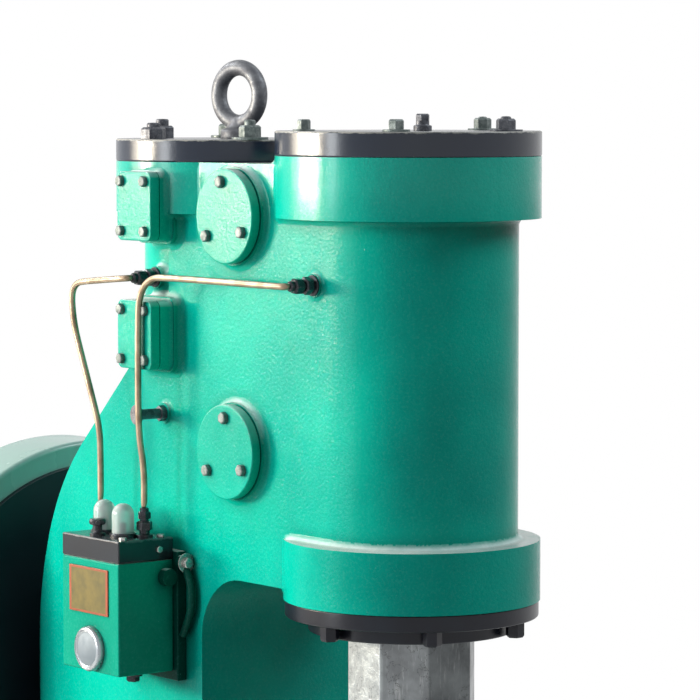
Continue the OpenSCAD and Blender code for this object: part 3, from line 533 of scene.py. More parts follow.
@dataclass(frozen=True)
class EtchedPlate(Finish):
    """Etched brass plate, lacquered: an olive field inside a broad orange border, both bare of lettering."""

    # in metres, along Y and Z; the border's inner edge fades over the two distances from the plate's edge
    centre: Pair = (0.362, 1.006)
    half: Pair = (0.043, 0.029)
    border_y: Pair = (0.0055, 0.0040)
    border_z: Pair = (0.0034, 0.0022)

    def dress(self, tree: Tree) -> None:
        """Build the border from the distance to the plate's edges, and an uneven lacquer.

        Args:
            tree: The empty node tree.
        """
        at = put(tree, "TexCoord").outputs["Object"]
        place = put(tree, "SeparateXYZ", {0: at})
        off_y = put(tree, "Math", {0: place.outputs[1], 1: self.centre[0]}, operation="SUBTRACT")
        off_z = put(tree, "Math", {0: place.outputs[2], 1: self.centre[1]}, operation="SUBTRACT")
        far_y = put(tree, "Math", {0: off_y}, operation="ABSOLUTE")
        far_z = put(tree, "Math", {0: off_z}, operation="ABSOLUTE")
        in_y = put(tree, "MapRange",
                   {"Value": far_y, 1: self.half[0] - self.border_y[0], 2: self.half[0] - self.border_y[1]})
        in_z = put(tree, "MapRange",
                   {"Value": far_z, 1: self.half[1] - self.border_z[0], 2: self.half[1] - self.border_z[1]})
        border = put(tree, "Math", {0: in_y, 1: in_z}, operation="MAXIMUM")
        patch = put(tree, "TexNoise", {"Vector": at, "Scale": 1000 / 18, "Detail": 4.0, "Roughness": 0.6})
        tone = put(tree, "MapRange", {"Value": patch, 1: 0.35, 2: 0.65})
        field_tone = put(tree, "Mix", {0: tone, 6: "564D10", 7: "70601B"}, data_type="RGBA")
        edge_tone = put(tree, "Mix", {0: tone, 6: "A4471D", 7: "8A3F18"}, data_type="RGBA")
        skin = put(tree, "Mix", {0: border, 6: field_tone, 7: edge_tone}, data_type="RGBA")
        bump = put(tree, "Bump", {"Height": patch, "Distance": 0.00015, "Strength": 1.0})
        self.close(tree, put(tree, "BsdfPrincipled", {"Base Color": skin, "Metallic": 0.1, "Roughness": 0.42,
                                                      "Normal": bump}))


CASTING = CastEnamel("sea green enamel on sand-cast iron")
SMALL_CASTING = CastEnamel("sea green enamel on small castings", colour="02C0A6", deep="06AA94", gloss=0.17,
                           mirror=0.14, grain_mm=3.8, grain_depth_mm=0.42, wave_mm=28.0, wave_depth_mm=0.25,
                           fillet_highlights=0.35, collar_gloss=0.0)
BOX_ENAMEL = CastEnamel("green enamel on the lubricator's pressed box", colour="0BA88C", deep="099A80", gloss=0.24,
                        grain_mm=7.0, grain_depth_mm=0.1, wave_mm=40.0, wave_depth_mm=0.4, specks_and_glints=0.3,
                        fillet_highlights=0.0, collar_gloss=0.0)
BRACKET_ENAMEL = CastEnamel("dark green enamel on welded plate", colour="0B5B4B", deep="08493E", gloss=0.32,
                            grain_mm=6.0, grain_depth_mm=0.15, specks_and_glints=0.3, fillet_highlights=0.0, collar_gloss=0.0)
RAM_COVER = CoverPaint("black gloss paint on the ram cylinder's cover")
REAR_COVER = CoverPaint("black gloss paint on the compressor's cover", edge_z_mm=REAR_TOP)
GLAND_PAINT = CoverPaint("black gloss paint on the gland", colour="12141F", edge_z_mm=1020.0, gloss=0.3,
                         mirror=0.3)
LID_PAINT = CoverPaint("black gloss paint on the lubricator's lid", colour="1E2025", worn="55575A", edge_z_mm=LUB_TOP,
                       gloss=0.22)
FORGED_EYE = BareSteel("hot-dip zinc on a forged eye", light="77797D", dark="5A5B61", metal=0.4, gloss=0.5,
                       scratch_depth_mm=0.12, scratch_mm=5.0, scratch_share=0.1)
ZINC_BOLT = BareSteel("zinc plate on hexagon bolts", light="7B8381", dark="525D5B", metal=0.4, gloss=0.48,
                      mottle_mm=7.0)
DARK_BOLT = BareSteel("blackened hexagon bolts", light="62656C", dark="3A3B42", metal=0.4, gloss=0.42, mottle_mm=8.0,
                      scratch_share=0.15)
GROUND_STEEL = BareSteel("ground steel of the ram", light="888C8E", dark="595A5D", metal=0.7, gloss=0.36,
                         mottle_mm=60.0, scratch=(1.0, 1.0, 0.12), scratch_mm=3.0, scratch_depth_mm=0.1,
                         scratch_share=0.25, chips=0.6)
DIE_STEEL = BareSteel("forged die steel under scale", light="77736E", dark="3F3B38", metal=0.6, gloss=0.45,
                      mottle_mm=16.0, scratch_depth_mm=0.25, scratch_mm=6.0, scratch_share=0.2)
PIN_STEEL = BareSteel("turned bare steel", light="9C9C9C", dark="6A6866", metal=0.9, gloss=0.3, mottle_mm=20.0)
BLACK_FITTING = BareSteel("phosphated steel fittings", light="30323A", dark="14151A", metal=0.35, gloss=0.32,
                          mottle_mm=9.0, scratch_share=0.16)
BRIGHT_SCREW = BareSteel("bright zinc screws", light="C6C6C2", dark="8E8D8A", metal=0.8, gloss=0.28, mottle_mm=5.0)
# the guard's shell is painted pale, partly its own grey-green and partly a painted sky reflection on the rim; its face
# is near-black, partly painted shade
GUARD_SHELL_PAINT_AND_SHEEN = SmoothEnamel("pale grey-green gloss enamel on spun sheet", colour="8BAAA3", scuff="A9BFBA", wear=0.25,
                            gloss=0.2, mirror=0.5)
GUARD_FACE_PAINT_AND_SHADE = SmoothEnamel("near-black enamel and painted shade on the guard's face", colour="101A22", scuff="2B3A44", wear=0.25,
                          gloss=0.34)
MOTOR_ENAMEL = SmoothEnamel("mid green enamel on the motor", colour="1B6A5C", scuff="5F8F84", wear=0.35, gloss=0.3)
TREADLE_ENAMEL = SmoothEnamel("worn green enamel on bar", colour="14705C", scuff="8A8A84", wear=0.85, gloss=0.34)
COPPER = CopperTube("dulled drawn copper")
CLEAR = ClearMoulding("milky clear acrylic")
CHROME = Chrome("chromium plate on the window's rim")
GLASS = SightGlass("sight glass over oil")
PLATE = EtchedPlate("etched brass plate")


@dataclass(frozen=True)
class Seat:
    """Where a made part goes: its foot, the way its own +Z points, and its turn about that way."""

    at: Point
    axis: Point = (0.0, 0.0, 1.0)
    turn: float = 0.0

    def matrix(self) -> Matrix:
        """Give the seat as a matrix that carries a part from its own place."""
        way = Vector(self.axis).to_track_quat("Z", "Y").to_matrix().to_4x4()
        return Matrix.Translation(self.at) @ way @ Matrix.Rotation(math.radians(self.turn), 4, "Z")


@dataclass
class Workpiece:
    """A mesh on the bench, in millimetres, which ends as one object."""

    mesh: Bench = field(default_factory=bmesh.new)

    @classmethod
    def of_node(cls, node: str, width: float, segments: int = 3, limit: float = 30.0) -> "Workpiece":
        """Start from a CAD node's copy, its loose triangles joined into whole faces and its sharp edges eased.

        Args:
            node: The CAD node.
            width: Radius of the easing.
            segments: Facets in it.
            limit: Angle in degrees past which an edge is sharp.

        Returns:
            The copy, in millimetres.
        """
        piece = cls()
        piece.mesh.from_mesh(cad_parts[node].data)
        piece.mesh.transform(Matrix.Scale(1000, 4))
        bmesh.ops.remove_doubles(piece.mesh, verts=piece.mesh.verts, dist=0.02)
        bmesh.ops.dissolve_limit(piece.mesh, angle_limit=math.radians(0.6), verts=piece.mesh.verts,
                                 edges=piece.mesh.edges)
        ease(piece.mesh, width, segments, limit)
        return piece

    def take(self, part: Bench, seat: Seat | None = None) -> None:
        """Move a part to its seat and join it to this workpiece.

        Args:
            part: The part, which is used up.
            seat: Where it goes, or None where it already is in place.
        """
        bmesh.ops.remove_doubles(part, verts=part.verts, dist=0.001)
        bmesh.ops.recalc_face_normals(part, faces=part.faces)
        if seat:
            part.transform(seat.matrix())
        carrier = bpy.data.meshes.new("carrier")
        part.to_mesh(carrier)
        part.free()
        self.mesh.from_mesh(carrier)
        bpy.data.meshes.remove(carrier)

    def lathe(self, profile: list[Pair], seat: Seat, steps: int = 40, edge: float = 0.0) -> None:
        """Turn a profile of radius and height about +Z, and set it on its seat.

        Args:
            profile: Points of radius and height, from one end to the other.
            seat: Where the turned part goes.
            steps: Facets round the part.
            edge: Radius that its sharp rims are eased by, or 0.
        """
        part = bmesh.new()
        verts = [part.verts.new((r, 0.0, z)) for r, z in profile]
        edges = [part.edges.new(pair) for pair in zip(verts, verts[1:])]
        bmesh.ops.spin(part, geom=verts + edges, cent=(0, 0, 0), axis=(0, 0, 1), dvec=(0, 0, 0), angle=math.tau,
                       steps=steps, use_merge=True, use_duplicate=False)
        bmesh.ops.remove_doubles(part, verts=part.verts, dist=0.001)
        ease(part, edge, 3)
        self.take(part, seat)

    def block(self, low: Point, high: Point, edge: float = 1.0, segments: int = 2) -> None:
        """Add a block between two corners, with eased edges.

        Args:
            low: Lowest corner.
            high: Highest corner.
            edge: Radius of its edges.
            segments: Facets in each eased edge.
        """
        part = bmesh.new()
        bmesh.ops.create_cube(part, size=1.0)
        size = Vector(high) - Vector(low)
        bmesh.ops.scale(part, vec=size, verts=part.verts)
        bmesh.ops.translate(part, vec=(Vector(high) + Vector(low)) / 2, verts=part.verts)
        ease(part, edge, segments)
        self.take(part)

    def finished(self, name: str) -> Mesh:
        """Give the workpiece as a mesh in metres, and clear the bench.

        Args:
            name: The mesh's name.

        Returns:
            The mesh.
        """
        self.mesh.transform(Matrix.Scale(0.001, 4))
        data = bpy.data.meshes.new(name)
        self.mesh.to_mesh(data)
        self.mesh.free()
        return data

    def publish(self, name: str, finish: Finish, slot: Slot, body: Body = Body.FRAME,
                stands_for: tuple[str, ...] = ()) -> bpy.types.Object:
        """Make the workpiece an object, finished and riding on its body.

        Args:
            name: The piece's name.
            finish: Its material.
            slot: The record's slot that the finish belongs to; not used.
            body: The body that it moves with.
            stands_for: CAD nodes that it replaces.

        Returns:
            The object.
        """
        return publish_mesh(self.finished(name), name, finish, body, stands_for)


def ease(part: Bench, width: float, segments: int = 2, limit: float = 30.0) -> None:
    """Round the sharp edges of a part.

    Args:
        part: The part.
        width: Radius of the rounding; nothing happens at 0.
        segments: Facets in it.
        limit: Angle in degrees past which an edge is sharp.
    """
    if width <= 0:
        return
    sharp = [e for e in part.edges if len(e.link_faces) == 2 and e.calc_face_angle(0.0) > math.radians(limit)]
    bmesh.ops.bevel(part, geom=sharp, offset=width, offset_type="OFFSET", segments=segments, profile=0.5,
                    affect="EDGES", clamp_overlap=True, material=-1)


def smooth_over(data: Mesh) -> None:
    """Shade a mesh smooth, up to its sharp edges."""
    data.polygons.foreach_set("use_smooth", [True] * len(data.polygons))
    data.set_sharp_from_angle(angle=math.radians(SHARP_DEGREES))


def publish_mesh(data: Mesh, name: str, finish: Finish, body: Body = Body.FRAME,
                 stands_for: tuple[str, ...] = (), even: bool = True) -> bpy.types.Object:
    """Put a mesh in metres into the scene as a finished piece.

    Args:
        data: The mesh, in place.
        name: The piece's name.
        finish: Its material.
        body: The body that it moves with.
        stands_for: CAD nodes that it replaces.
        even: Whether its shading is still to be evened out over its flats.

    Returns:
        The object.
    """
    if even:
        smooth_over(data)
    data.materials.clear()
    data.materials.append(finish.material())
    made = bpy.data.objects.new(name, data)
    bpy.context.scene.collection.objects.link(made)
    if even:
        made.modifiers.new("even_normals", "WEIGHTED_NORMAL").keep_sharp = True
    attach(made, body.value)
    if stands_for:
        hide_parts(*stands_for)
    log.info("%s: %d faces", name, len(data.polygons))
    return made


def applied(data: Mesh, name: str, steps: list[tuple[str, dict]]) -> Mesh:
    """Run modifiers over a mesh and give the finished mesh.

    Args:
        data: The mesh to start from, which is used up.
        name: Name of the finished mesh.
        steps: Modifier types with their settings, in order.

    Returns:
        A new mesh with every modifier applied.
    """
    holder = bpy.data.objects.new("holder", data)
    bpy.context.scene.collection.objects.link(holder)
    for kind, settings in steps:
        step = holder.modifiers.new(kind.lower(), kind)
        for key, value in settings.items():
            setattr(step, key, value)
    graph = bpy.context.evaluated_depsgraph_get()
    done = bpy.data.meshes.new_from_object(holder.evaluated_get(graph), depsgraph=graph)
    done.name = name
    bpy.data.objects.remove(holder)
    bpy.data.meshes.remove(data)
    return done


@dataclass(frozen=True)
class HexBolt:
    """A hexagon head or nut on a plain washer, in millimetres."""

    across: float = 24.0
    head: float = 15.0
    washer: float = 3.0
    stud: float = 0.0
    # the rest as shares of the width across the flats, and the crown as one of the head's height
    washer_share: float = 0.95
    stud_share: float = 0.3
    top_share: float = 0.94
    crown_share: float = 0.16

    def fit(self, piece: Workpiece, seat: Seat) -> None:
        """Add the bolt to a workpiece.

        Args:
            piece: The workpiece that takes it.
            seat: The point that it is tightened on, and the way that it points.
        """
        flat = self.across / 2
        reach = flat / math.cos(math.pi / 6)
        if self.washer:
            r = self.across * self.washer_share
            piece.lathe([(0, -0.5), (r, -0.5), (r, self.washer), (0, self.washer)], seat, 28, 0.6)
        base = self.washer - 0.2
        crown = self.head * self.crown_share
        shape = bmesh.new()
        bmesh.ops.create_cone(shape, cap_ends=True, segments=6, radius1=reach, radius2=reach, depth=self.head)
        bmesh.ops.translate(shape, vec=(0, 0, base + self.head / 2), verts=shape.verts)
        # the corners come off the head, as a turned chamfer takes them: the rim sinks and the inset top stays
        for vert in [v for v in shape.verts if v.co.z > base + self.head / 2]:
            vert.co.z -= crown
        top = max(shape.faces, key=lambda f: f.calc_center_median().z)
        bmesh.ops.inset_region(shape, faces=[top], thickness=reach - flat * self.top_share, depth=0.0)
        bmesh.ops.translate(shape, vec=(0, 0, crown), verts=top.verts)
        ease(shape, 0.5, 2, 40.0)
        piece.take(shape, seat)
        if self.stud:
            r = self.across * self.stud_share
            z = base + self.head - 0.5
            piece.lathe([(0, z), (r, z), (r, z + self.stud - 1.5), (r - 1.5, z + self.stud), (0, z + self.stud + 0.3)],
                        seat, 20, 0.3)


CAP_SCREW = HexBolt(13.0, 6.5, 0.0)
"""The small screw of the side covers."""


def remake(node: str, name: str, finish: Finish, slot: Slot, width: float, segments: int = 3, limit: float = 30.0,
           body: Body = Body.FRAME) -> None:
    """Publish a CAD node's copy, with eased edges, in the node's stead.

    Args:
        node: The CAD node.
        name: The piece's name.
        finish: Its material.
        slot: The record's slot that the finish belongs to; passed on to publish, which does not use it.
        width: Radius that its edges are eased by.
        segments: Facets in each eased edge.
        limit: Angle in degrees past which an edge is sharp.
        body: The body that it moves with.
    """
    Workpiece.of_node(node, width, segments, limit).publish(name, finish, slot, body, (node,))


@dataclass
class MainCasting:
    """The frame's casting, with crisp eased edges and soft cast fillets where its shapes meet."""

    voxel_mm: float = 2.6
    fillet_mm: float = 4.0
    sink_mm: float = 0.35
    edge_mm: float = 1.6
    bore_r: float = 86.5
    bore_foot_m: float = 1.0
    bore_core_m: float = 0.05
    flat_past: float = 0.99995
    upright_below: float = 0.03
    wall_off_mm: float = 0.5
    wall_facing: float = 0.995
    round_walls: tuple[Pair, ...] = ((0, 128), (0, 155), (16, 155), (PITCH, 121), (PITCH, 157))

    def build(self) -> None:
        """Ease the CAD frame's edges, run fillets into its corners, and finish it in enamel."""
        voxel = self.voxel_mm / 1000 * 1.0
        reach = self.fillet_mm / 1000
        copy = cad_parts["frame"].data.copy()
        skin = {"mode": "VOXEL", "voxel_size": voxel, "use_smooth_shade": True}
        # grown and shrunk again by the fillet's radius, which fills inner corners; it ends a little below the skin
        grown = applied(copy, "grown", [("WELD", {"merge_threshold": 2e-5}), ("REMESH", skin),
                                        ("DISPLACE", {"strength": reach, "mid_level": 0.0}), ("REMESH", skin)])
        fillets = applied(grown, "fillets", [
            ("DISPLACE", {"strength": -reach - self.sink_mm / 1000, "mid_level": 0.0}), ("REMESH", skin),
            ("SMOOTH", {"factor": 0.5, "iterations": 4})])
        self.clear_bore(fillets)
        sharp = Workpiece.of_node("frame", self.edge_mm, 2, 40.0)
        tool = bpy.data.objects.new("fillets", fillets)
        bpy.context.scene.collection.objects.link(tool)
        done = applied(sharp.finished("eased"), "casting",
                       [("BOOLEAN", {"operation": "UNION", "solver": "MANIFOLD", "object": tool})])
        bpy.data.objects.remove(tool)
        smooth_over(done)
        done = applied(done, "casting", [("WEIGHTED_NORMAL", {"keep_sharp": True})])
        self.true_walls(done)
        publish_mesh(done, "frame_casting", CASTING, stands_for=("frame",), even=False)

    def true_walls(self, data: Mesh) -> None:
        """Shade the flat walls flat and the upright round ones as true cylinders, whatever triangles they have.

        Args:
            data: The casting's mesh, in metres.
        """
        normals = [corner.vector.copy() for corner in data.corner_normals]
        for face in data.polygons:
            if max(map(abs, face.normal)) > self.flat_past:
                for corner in face.loop_indices:
                    normals[corner] = face.normal.copy()
                continue
            if abs(face.normal.z) > self.upright_below:
                continue
            for corner in face.loop_indices:
                place = data.vertices[data.loops[corner].vertex_index].co
                for y, radius in self.round_walls:
                    off = Vector((place.x, place.y - y / 1000, 0.0))
                    out = off.normalized()
                    if abs(off.length * 1000 - radius) < self.wall_off_mm and out.dot(face.normal) > self.wall_facing:
                        normals[corner] = out
                        break
        data.normals_split_custom_set(normals)

    def clear_bore(self, data: Mesh) -> None:
        """Keep the bore's wall outside the piston.

        Args:
            data: The casting's mesh, in metres.
        """
        work = bmesh.new()
        work.from_mesh(data)
        for vert in work.verts:
            off = math.hypot(vert.co.x, vert.co.y)
            if self.bore_core_m < off < self.bore_r / 1000 and vert.co.z > self.bore_foot_m:
                vert.co.x *= self.bore_r / 1000 / off
                vert.co.y *= self.bore_r / 1000 / off
        work.to_mesh(data)
        work.free()


@dataclass
class CylinderCovers:
    """The two cylinder covers with their bolts, and the gland under the ram cylinder."""

    rim: float = 2.2
    front_bolts: tuple[Pair, ...] = ((-126, 48), (-100, -94), (40, -125), (134, 28.5))
    rear_bolts: tuple[Pair, ...] = ((-129.5, 355), (-27.5, 482), (-70, 232), (68.5, 468.6))
    low_rear_bolts: tuple[Pair, ...] = ((68.5, 231.4), (137, 350))
    gland_angles: tuple[float, ...] = (187.0, 241.0, 293.0, 0.0, 60.0, 120.0)
    gland_bolt_r: float = 139.0

    def build(self) -> None:
        """Build both covers, the gland and their bolts."""
        for node, finish in (("ram_cylinder_cover", RAM_COVER), ("compressor_cover", REAR_COVER)):
            remake(node, node + "_turned", finish, Slot.COVER, self.rim, 4)
        self.bolts()
        self.gland()

    def gland(self) -> None:
        """Build the gland ring with its bolts, painted as one."""
        gland = Workpiece.of_node("gland_ring", 2.0)
        for i, angle in enumerate(self.gland_angles):
            way = math.radians(angle)
            foot = (self.gland_bolt_r * math.cos(way), self.gland_bolt_r * math.sin(way), HEAD_BOTTOM - 20)
            HexBolt(20, 18, 0).fit(gland, Seat(foot, (0, 0, -1), 13.0 * i))
        gland.publish("gland_turned", GLAND_PAINT, Slot.COVER, stands_for=("gland_ring",))

    def bolts(self) -> None:
        """Fit the bolts of both covers."""
        bright, dark = Workpiece(), Workpiece()
        sizes = (HexBolt(14, 12, 2), HexBolt(17, 12, 2.5), HexBolt(21, 13, 2, 3), HexBolt(19, 13, 2, 2))
        for i, ((x, y), bolt) in enumerate(zip(self.front_bolts, sizes)):
            target = dark if i == 2 else bright
            bolt.fit(target, Seat((x, y, HEIGHT), turn=17.0 * i))
        # pipe plug by the middle of the cover
        dark.lathe([(0, 0), (11, 0), (11, 6), (8, 7), (8, 12), (0, 12)], Seat((7, -11, HEIGHT)), 28, 0.6)
        HexBolt(15, 9, 0).fit(dark, Seat((7, -11, HEIGHT + 11.5), turn=12))
        for i, (x, y) in enumerate(self.rear_bolts):
            bolt = (HexBolt(28, 15, 0, 6), HexBolt(28, 16, 0, 9), HexBolt(24, 15, 3, 7), HexBolt(24, 15, 3, 7))[i]
            bolt.fit(dark if i in (0, 1) else bright, Seat((x, y, REAR_TOP), turn=23.0 * i + 8))
        for i, (x, y) in enumerate(self.low_rear_bolts):
            HexBolt(24, 8, 1.5).fit(bright, Seat((x, y, REAR_TOP), turn=11.0 * i))
        bright.publish("cover_bolts", ZINC_BOLT, Slot.ZINC)
        dark.publish("dark_cover_bolts", DARK_BOLT, Slot.FITTING)


@dataclass
class LiftingEye:
    """The forged lifting eye, whose ring runs into its neck and collar."""

    ring_r: float = 35.0
    bar_r: float = 10.3
    centre_z: float = 1623.0
    turn: float = 11.0

    def build(self) -> None:
        """Forge ring, neck and collar into one skin and dip it in zinc."""
        turn = math.radians(self.turn)
        blank = Workpiece()
        circle = [(self.ring_r + self.bar_r * math.cos(a), self.bar_r * math.sin(a))
                  for a in [math.tau * i / 24 for i in range(25)]]
        blank.lathe(circle, Seat((0, PITCH, self.centre_z), (-math.cos(turn), -math.sin(turn), 0)), 72)
        blank.lathe([(0, -0.5), (24, -0.5), (24, 9), (22, 12), (16, 13.5), (12.5, 17), (10.5, 24), (0, 26)],
                    Seat((0, PITCH, REAR_TOP)), 48)
        done = applied(blank.finished("eye"), "eye", [("REMESH", {"mode": "VOXEL", "voxel_size": 0.0013}),
                                     ("SMOOTH", {"factor": 0.5, "iterations": 9})])
        publish_mesh(done, "lifting_eye_forged", FORGED_EYE, stands_for=("lifting_eye",))


@dataclass
class SideCovers:
    """Round valve covers and square port caps on the frame's side, with their screws."""

    valve_y: float = 179.0
    face_x: float = -149.0
    port_y: float = 338.0
    cap_x: float = -172.0
    screw_r: float = 42.0
    upper_angles: tuple[float, ...] = (84.0, 206.0, 324.0)
    lower_angles: tuple[float, ...] = (92.0, 207.0, 324.0)
    bonnet_angles: tuple[float, ...] = (45.0, 135.0, 225.0, 315.0)
    spindle_x: float = 174.0
    port_z: Pair = (1485.0, 1325.0)
    cap_screws: tuple[Pair, ...] = ((27.0, 31.0), (-24.0, 31.0), (27.0, -31.0), (-24.0, -31.0))

    def screw_foot(self, x: float, z: float, degrees: float) -> Point:
        """Give a screw's foot on the ring of a valve cover.

        Args:
            x: The face that it is tightened on.
            z: Height of the cover's centre.
            degrees: The screw's angle, from the rear towards the top.

        Returns:
            The point.
        """
        a = math.radians(degrees)
        return (x, self.valve_y + self.screw_r * math.cos(a), z + self.screw_r * math.sin(a))

    def build(self) -> None:
        """Build the covers, caps, far-side bonnets and every screw."""
        for node in ("upper_valve_cover", "lower_valve_cover", "upper_port_cap", "lower_port_cap"):
            remake(node, node + "_painted", SMALL_CASTING, Slot.CASTING, 2.0, 4)
        screws = Workpiece()
        for z, angles in ((UPPER_VALVE_Z, self.upper_angles), (LOWER_VALVE_Z, self.lower_angles)):
            for i, angle in enumerate(angles):
                CAP_SCREW.fit(screws, Seat(self.screw_foot(self.face_x, z, angle), (-1, 0, 0), 20.0 * i + 5))
        for z in self.port_z:
            for i, (dy, dz) in enumerate(self.cap_screws):
                HexBolt(12.0, 6.0, 0).fit(screws, Seat((self.cap_x, self.port_y + dy, z + dz), (-1, 0, 0), 14.0 * i))
        screws.publish("side_cover_screws", ZINC_BOLT, Slot.ZINC)
        self.far_side()

    def far_side(self) -> None:
        """Build the valve bonnets with their screws, and the levers that turn them."""
        screws = Workpiece()
        for node, z in (("upper_valve_bonnet", UPPER_VALVE_Z), ("lower_valve_bonnet", LOWER_VALVE_Z)):
            remake(node, node + "_painted", SMALL_CASTING, Slot.CASTING, 1.5)
            for i, angle in enumerate(self.bonnet_angles):
                CAP_SCREW.fit(screws, Seat(self.screw_foot(-self.face_x, z, angle), (1, 0, 0), 9.0 * i))
            # the nut that keeps the lever on its spindle
            HexBolt(19, 9, 2).fit(screws, Seat((self.spindle_x, self.valve_y, z), (1, 0, 0), 10))
        screws.publish("bonnet_screws", ZINC_BOLT, Slot.ZINC)
        for node in ("upper_valve_handle", "lower_valve_lever", "link_rod"):
            remake(node, node + "_black", BLACK_FITTING, Slot.FITTING, 1.0, 2)


@dataclass
class RamAndDies:
    """The ram, both dies with their wedges, and the anvil."""

    def build(self) -> None:
        """Build the ground ram, the forged dies and the cast anvil."""
        remake("ram", "ram_ground", GROUND_STEEL, Slot.RAM, 1.2, 2, 35.0, Body.RAM)
        for node, body, edge in (("upper_die", Body.RAM, 1.6), ("upper_die_wedge", Body.RAM, 0.8),
                                 ("lower_die", Body.FRAME, 1.6), ("lower_die_wedge", Body.FRAME, 0.8)):
            remake(node, node + "_forged", DIE_STEEL, Slot.DIE, edge, body=body)
        remake("anvil_block", "anvil_cast", CASTING, Slot.CASTING, 5.0, 4)


@dataclass
class Lubricator:
    """The oil box with its lid, sight domes, window, plate, unions and priming lever."""

    face_x: float = -225.0
    window: Pair = (358.0, 933.0)
    window_r: float = 28.5
    domes: tuple[Pair, ...] = ((-190, 338), (-184, 388))
    dome_r: float = 13.9
    dome_z: float = 28.0
    unions: tuple[Pair, ...] = ((-170, 320), (-172, 414))
    filler: Pair = (-208.0, 368.0)
    drain: Pair = (-188.0, 320.0)

    def build(self) -> None:
        """Build the whole lubricator."""
        remake("lubricator_body", "oil_box", BOX_ENAMEL, Slot.CASTING, 2.5)
        remake("lubricator_lid", "oil_box_lid", LID_PAINT, Slot.COVER, 2.0)
        remake("lubricator_bracket", "oil_box_bracket", BRACKET_ENAMEL, Slot.CASTING, 2.0)
        remake("lubricator_plate", "instruction_plate", PLATE, Slot.PLATE, 0.5, 2)
        self.sight_parts()
        self.top_parts()
        self.lever_parts()

    def sight_parts(self) -> None:
        """Build the window's rim and glass and the two clear domes on their rings."""
        seat = Seat((self.face_x, *self.window), (-1, 0, 0))
        r = self.window_r
        rim = Workpiece()
        rim.lathe([(0, -0.5), (r, -0.5), (r, 4.5), (r - 1.8, 7.8), (r - 4, 8.8), (r - 5, 7.2), (r - 6, 8.0),
                   (r - 7.6, 6.5), (0, 6.5)], seat, 56, 0.4)
        rim.publish("window_rim", CHROME, Slot.RIM, stands_for=("lubricator_window",))
        glass = Workpiece()
        glass.lathe([(0, 5.5), (r - 7.2, 5.5), (r - 7.2, 6.8), (10, 8.2), (0, 8.6)], seat, 48, 0.3)
        glass.publish("window_glass", GLASS, Slot.DOME)
        shells, rings = Workpiece(), Workpiece()
        for x, y in self.domes:
            foot = Seat((x, y, LUB_TOP))
            # a turned shell, closed at its foot, so that light passes two walls
            r = self.dome_r
            crown = [(r * math.cos(a), self.dome_z + r * math.sin(a))
                     for a in [math.pi / 2 * i / 10 for i in range(11)]]
            shells.lathe([(0, 0.5), (r, 0.5), *crown], foot, 40)
            rings.lathe([(12, -0.5), (17, -0.5), (17, 3.5), (15.6, 5), (13.8, 5), (13.8, -0.5)], foot, 40, 0.4)
            rings.lathe([(0, 1), (3, 1), (2.6, 14), (4, 17), (0, 19)], foot, 20, 0.2)
        shells.publish("sight_domes", CLEAR, Slot.DOME, stands_for=("lubricator_sight_domes",))
        rings.publish("dome_rings", BLACK_FITTING, Slot.FITTING)

    def top_parts(self) -> None:
        """Build the filler plug, the pipe unions and the lid's screws."""
        filler = Workpiece()
        filler.lathe([(0, -0.5), (10, -0.5), (10, 3), (6, 4), (6, 13), (9.5, 14), (10.5, 16), (10.5, 19), (9, 21),
                      (0, 21.5)], Seat((*self.filler, LUB_TOP)), 32, 0.5)
        # the bar through its head that fingers turn it by
        bar = Seat((*self.filler, LUB_TOP + 17), (0.5, 0.87, 0))
        filler.lathe([(0, -15), (3.2, -15), (3.2, 15), (0, 15)], bar, 16, 0.5)
        filler.publish("filler_plug", BLACK_FITTING, Slot.FITTING, stands_for=("lubricator_filler",))
        unions = Workpiece()
        for x, y in self.unions:
            unions.lathe([(0, -0.5), (11, -0.5), (11, 3), (6.6, 4), (6.6, 11), (5.6, 12), (5.6, 36), (4.2, 36.5),
                          (0, 36.5)], Seat((x, y, LUB_TOP)), 28, 0.4)
            HexBolt(18, 11, 0).fit(unions, Seat((x, y, LUB_TOP + 9), turn=10))
            HexBolt(15, 9, 0).fit(unions, Seat((x, y, LUB_TOP + 23), turn=34))
        unions.publish("pipe_unions", BLACK_FITTING, Slot.FITTING, stands_for=("lubricator_unions",))
        screws = Workpiece()
        for x in (-212, -155):
            HexBolt(9, 4, 0).fit(screws, Seat((x, 306, LUB_TOP)))
        HexBolt(8, 3.5, 0).fit(screws, Seat((-164, LUB_Y, 1059), (0, -1, 0)))
        screws.publish("lid_screws", BRIGHT_SCREW, Slot.ZINC)

    def lever_parts(self) -> None:
        """Build the priming lever with its bright pivot, and the drain plug."""
        remake("lubricator_crank", "priming_lever", BRACKET_ENAMEL, Slot.FITTING, 0.6, 2, 40.0)
        pivot = Workpiece()
        HexBolt(13, 6, 1.5).fit(pivot, Seat((-137, 277, 1042), (0, -1, 0), 12))
        pivot.publish("priming_lever_nut", BRIGHT_SCREW, Slot.ZINC)
        drain = Workpiece()
        drain.lathe([(0, -0.5), (12, -0.5), (12, 4), (9, 5), (0, 5)], Seat((*self.drain, 904), (0, 0, -1)), 28, 0.5)
        HexBolt(15, 7, 0).fit(drain, Seat((*self.drain, 899.5), (0, 0, -1), 20))
        drain.publish("drain_plug", BLACK_FITTING, Slot.FITTING)


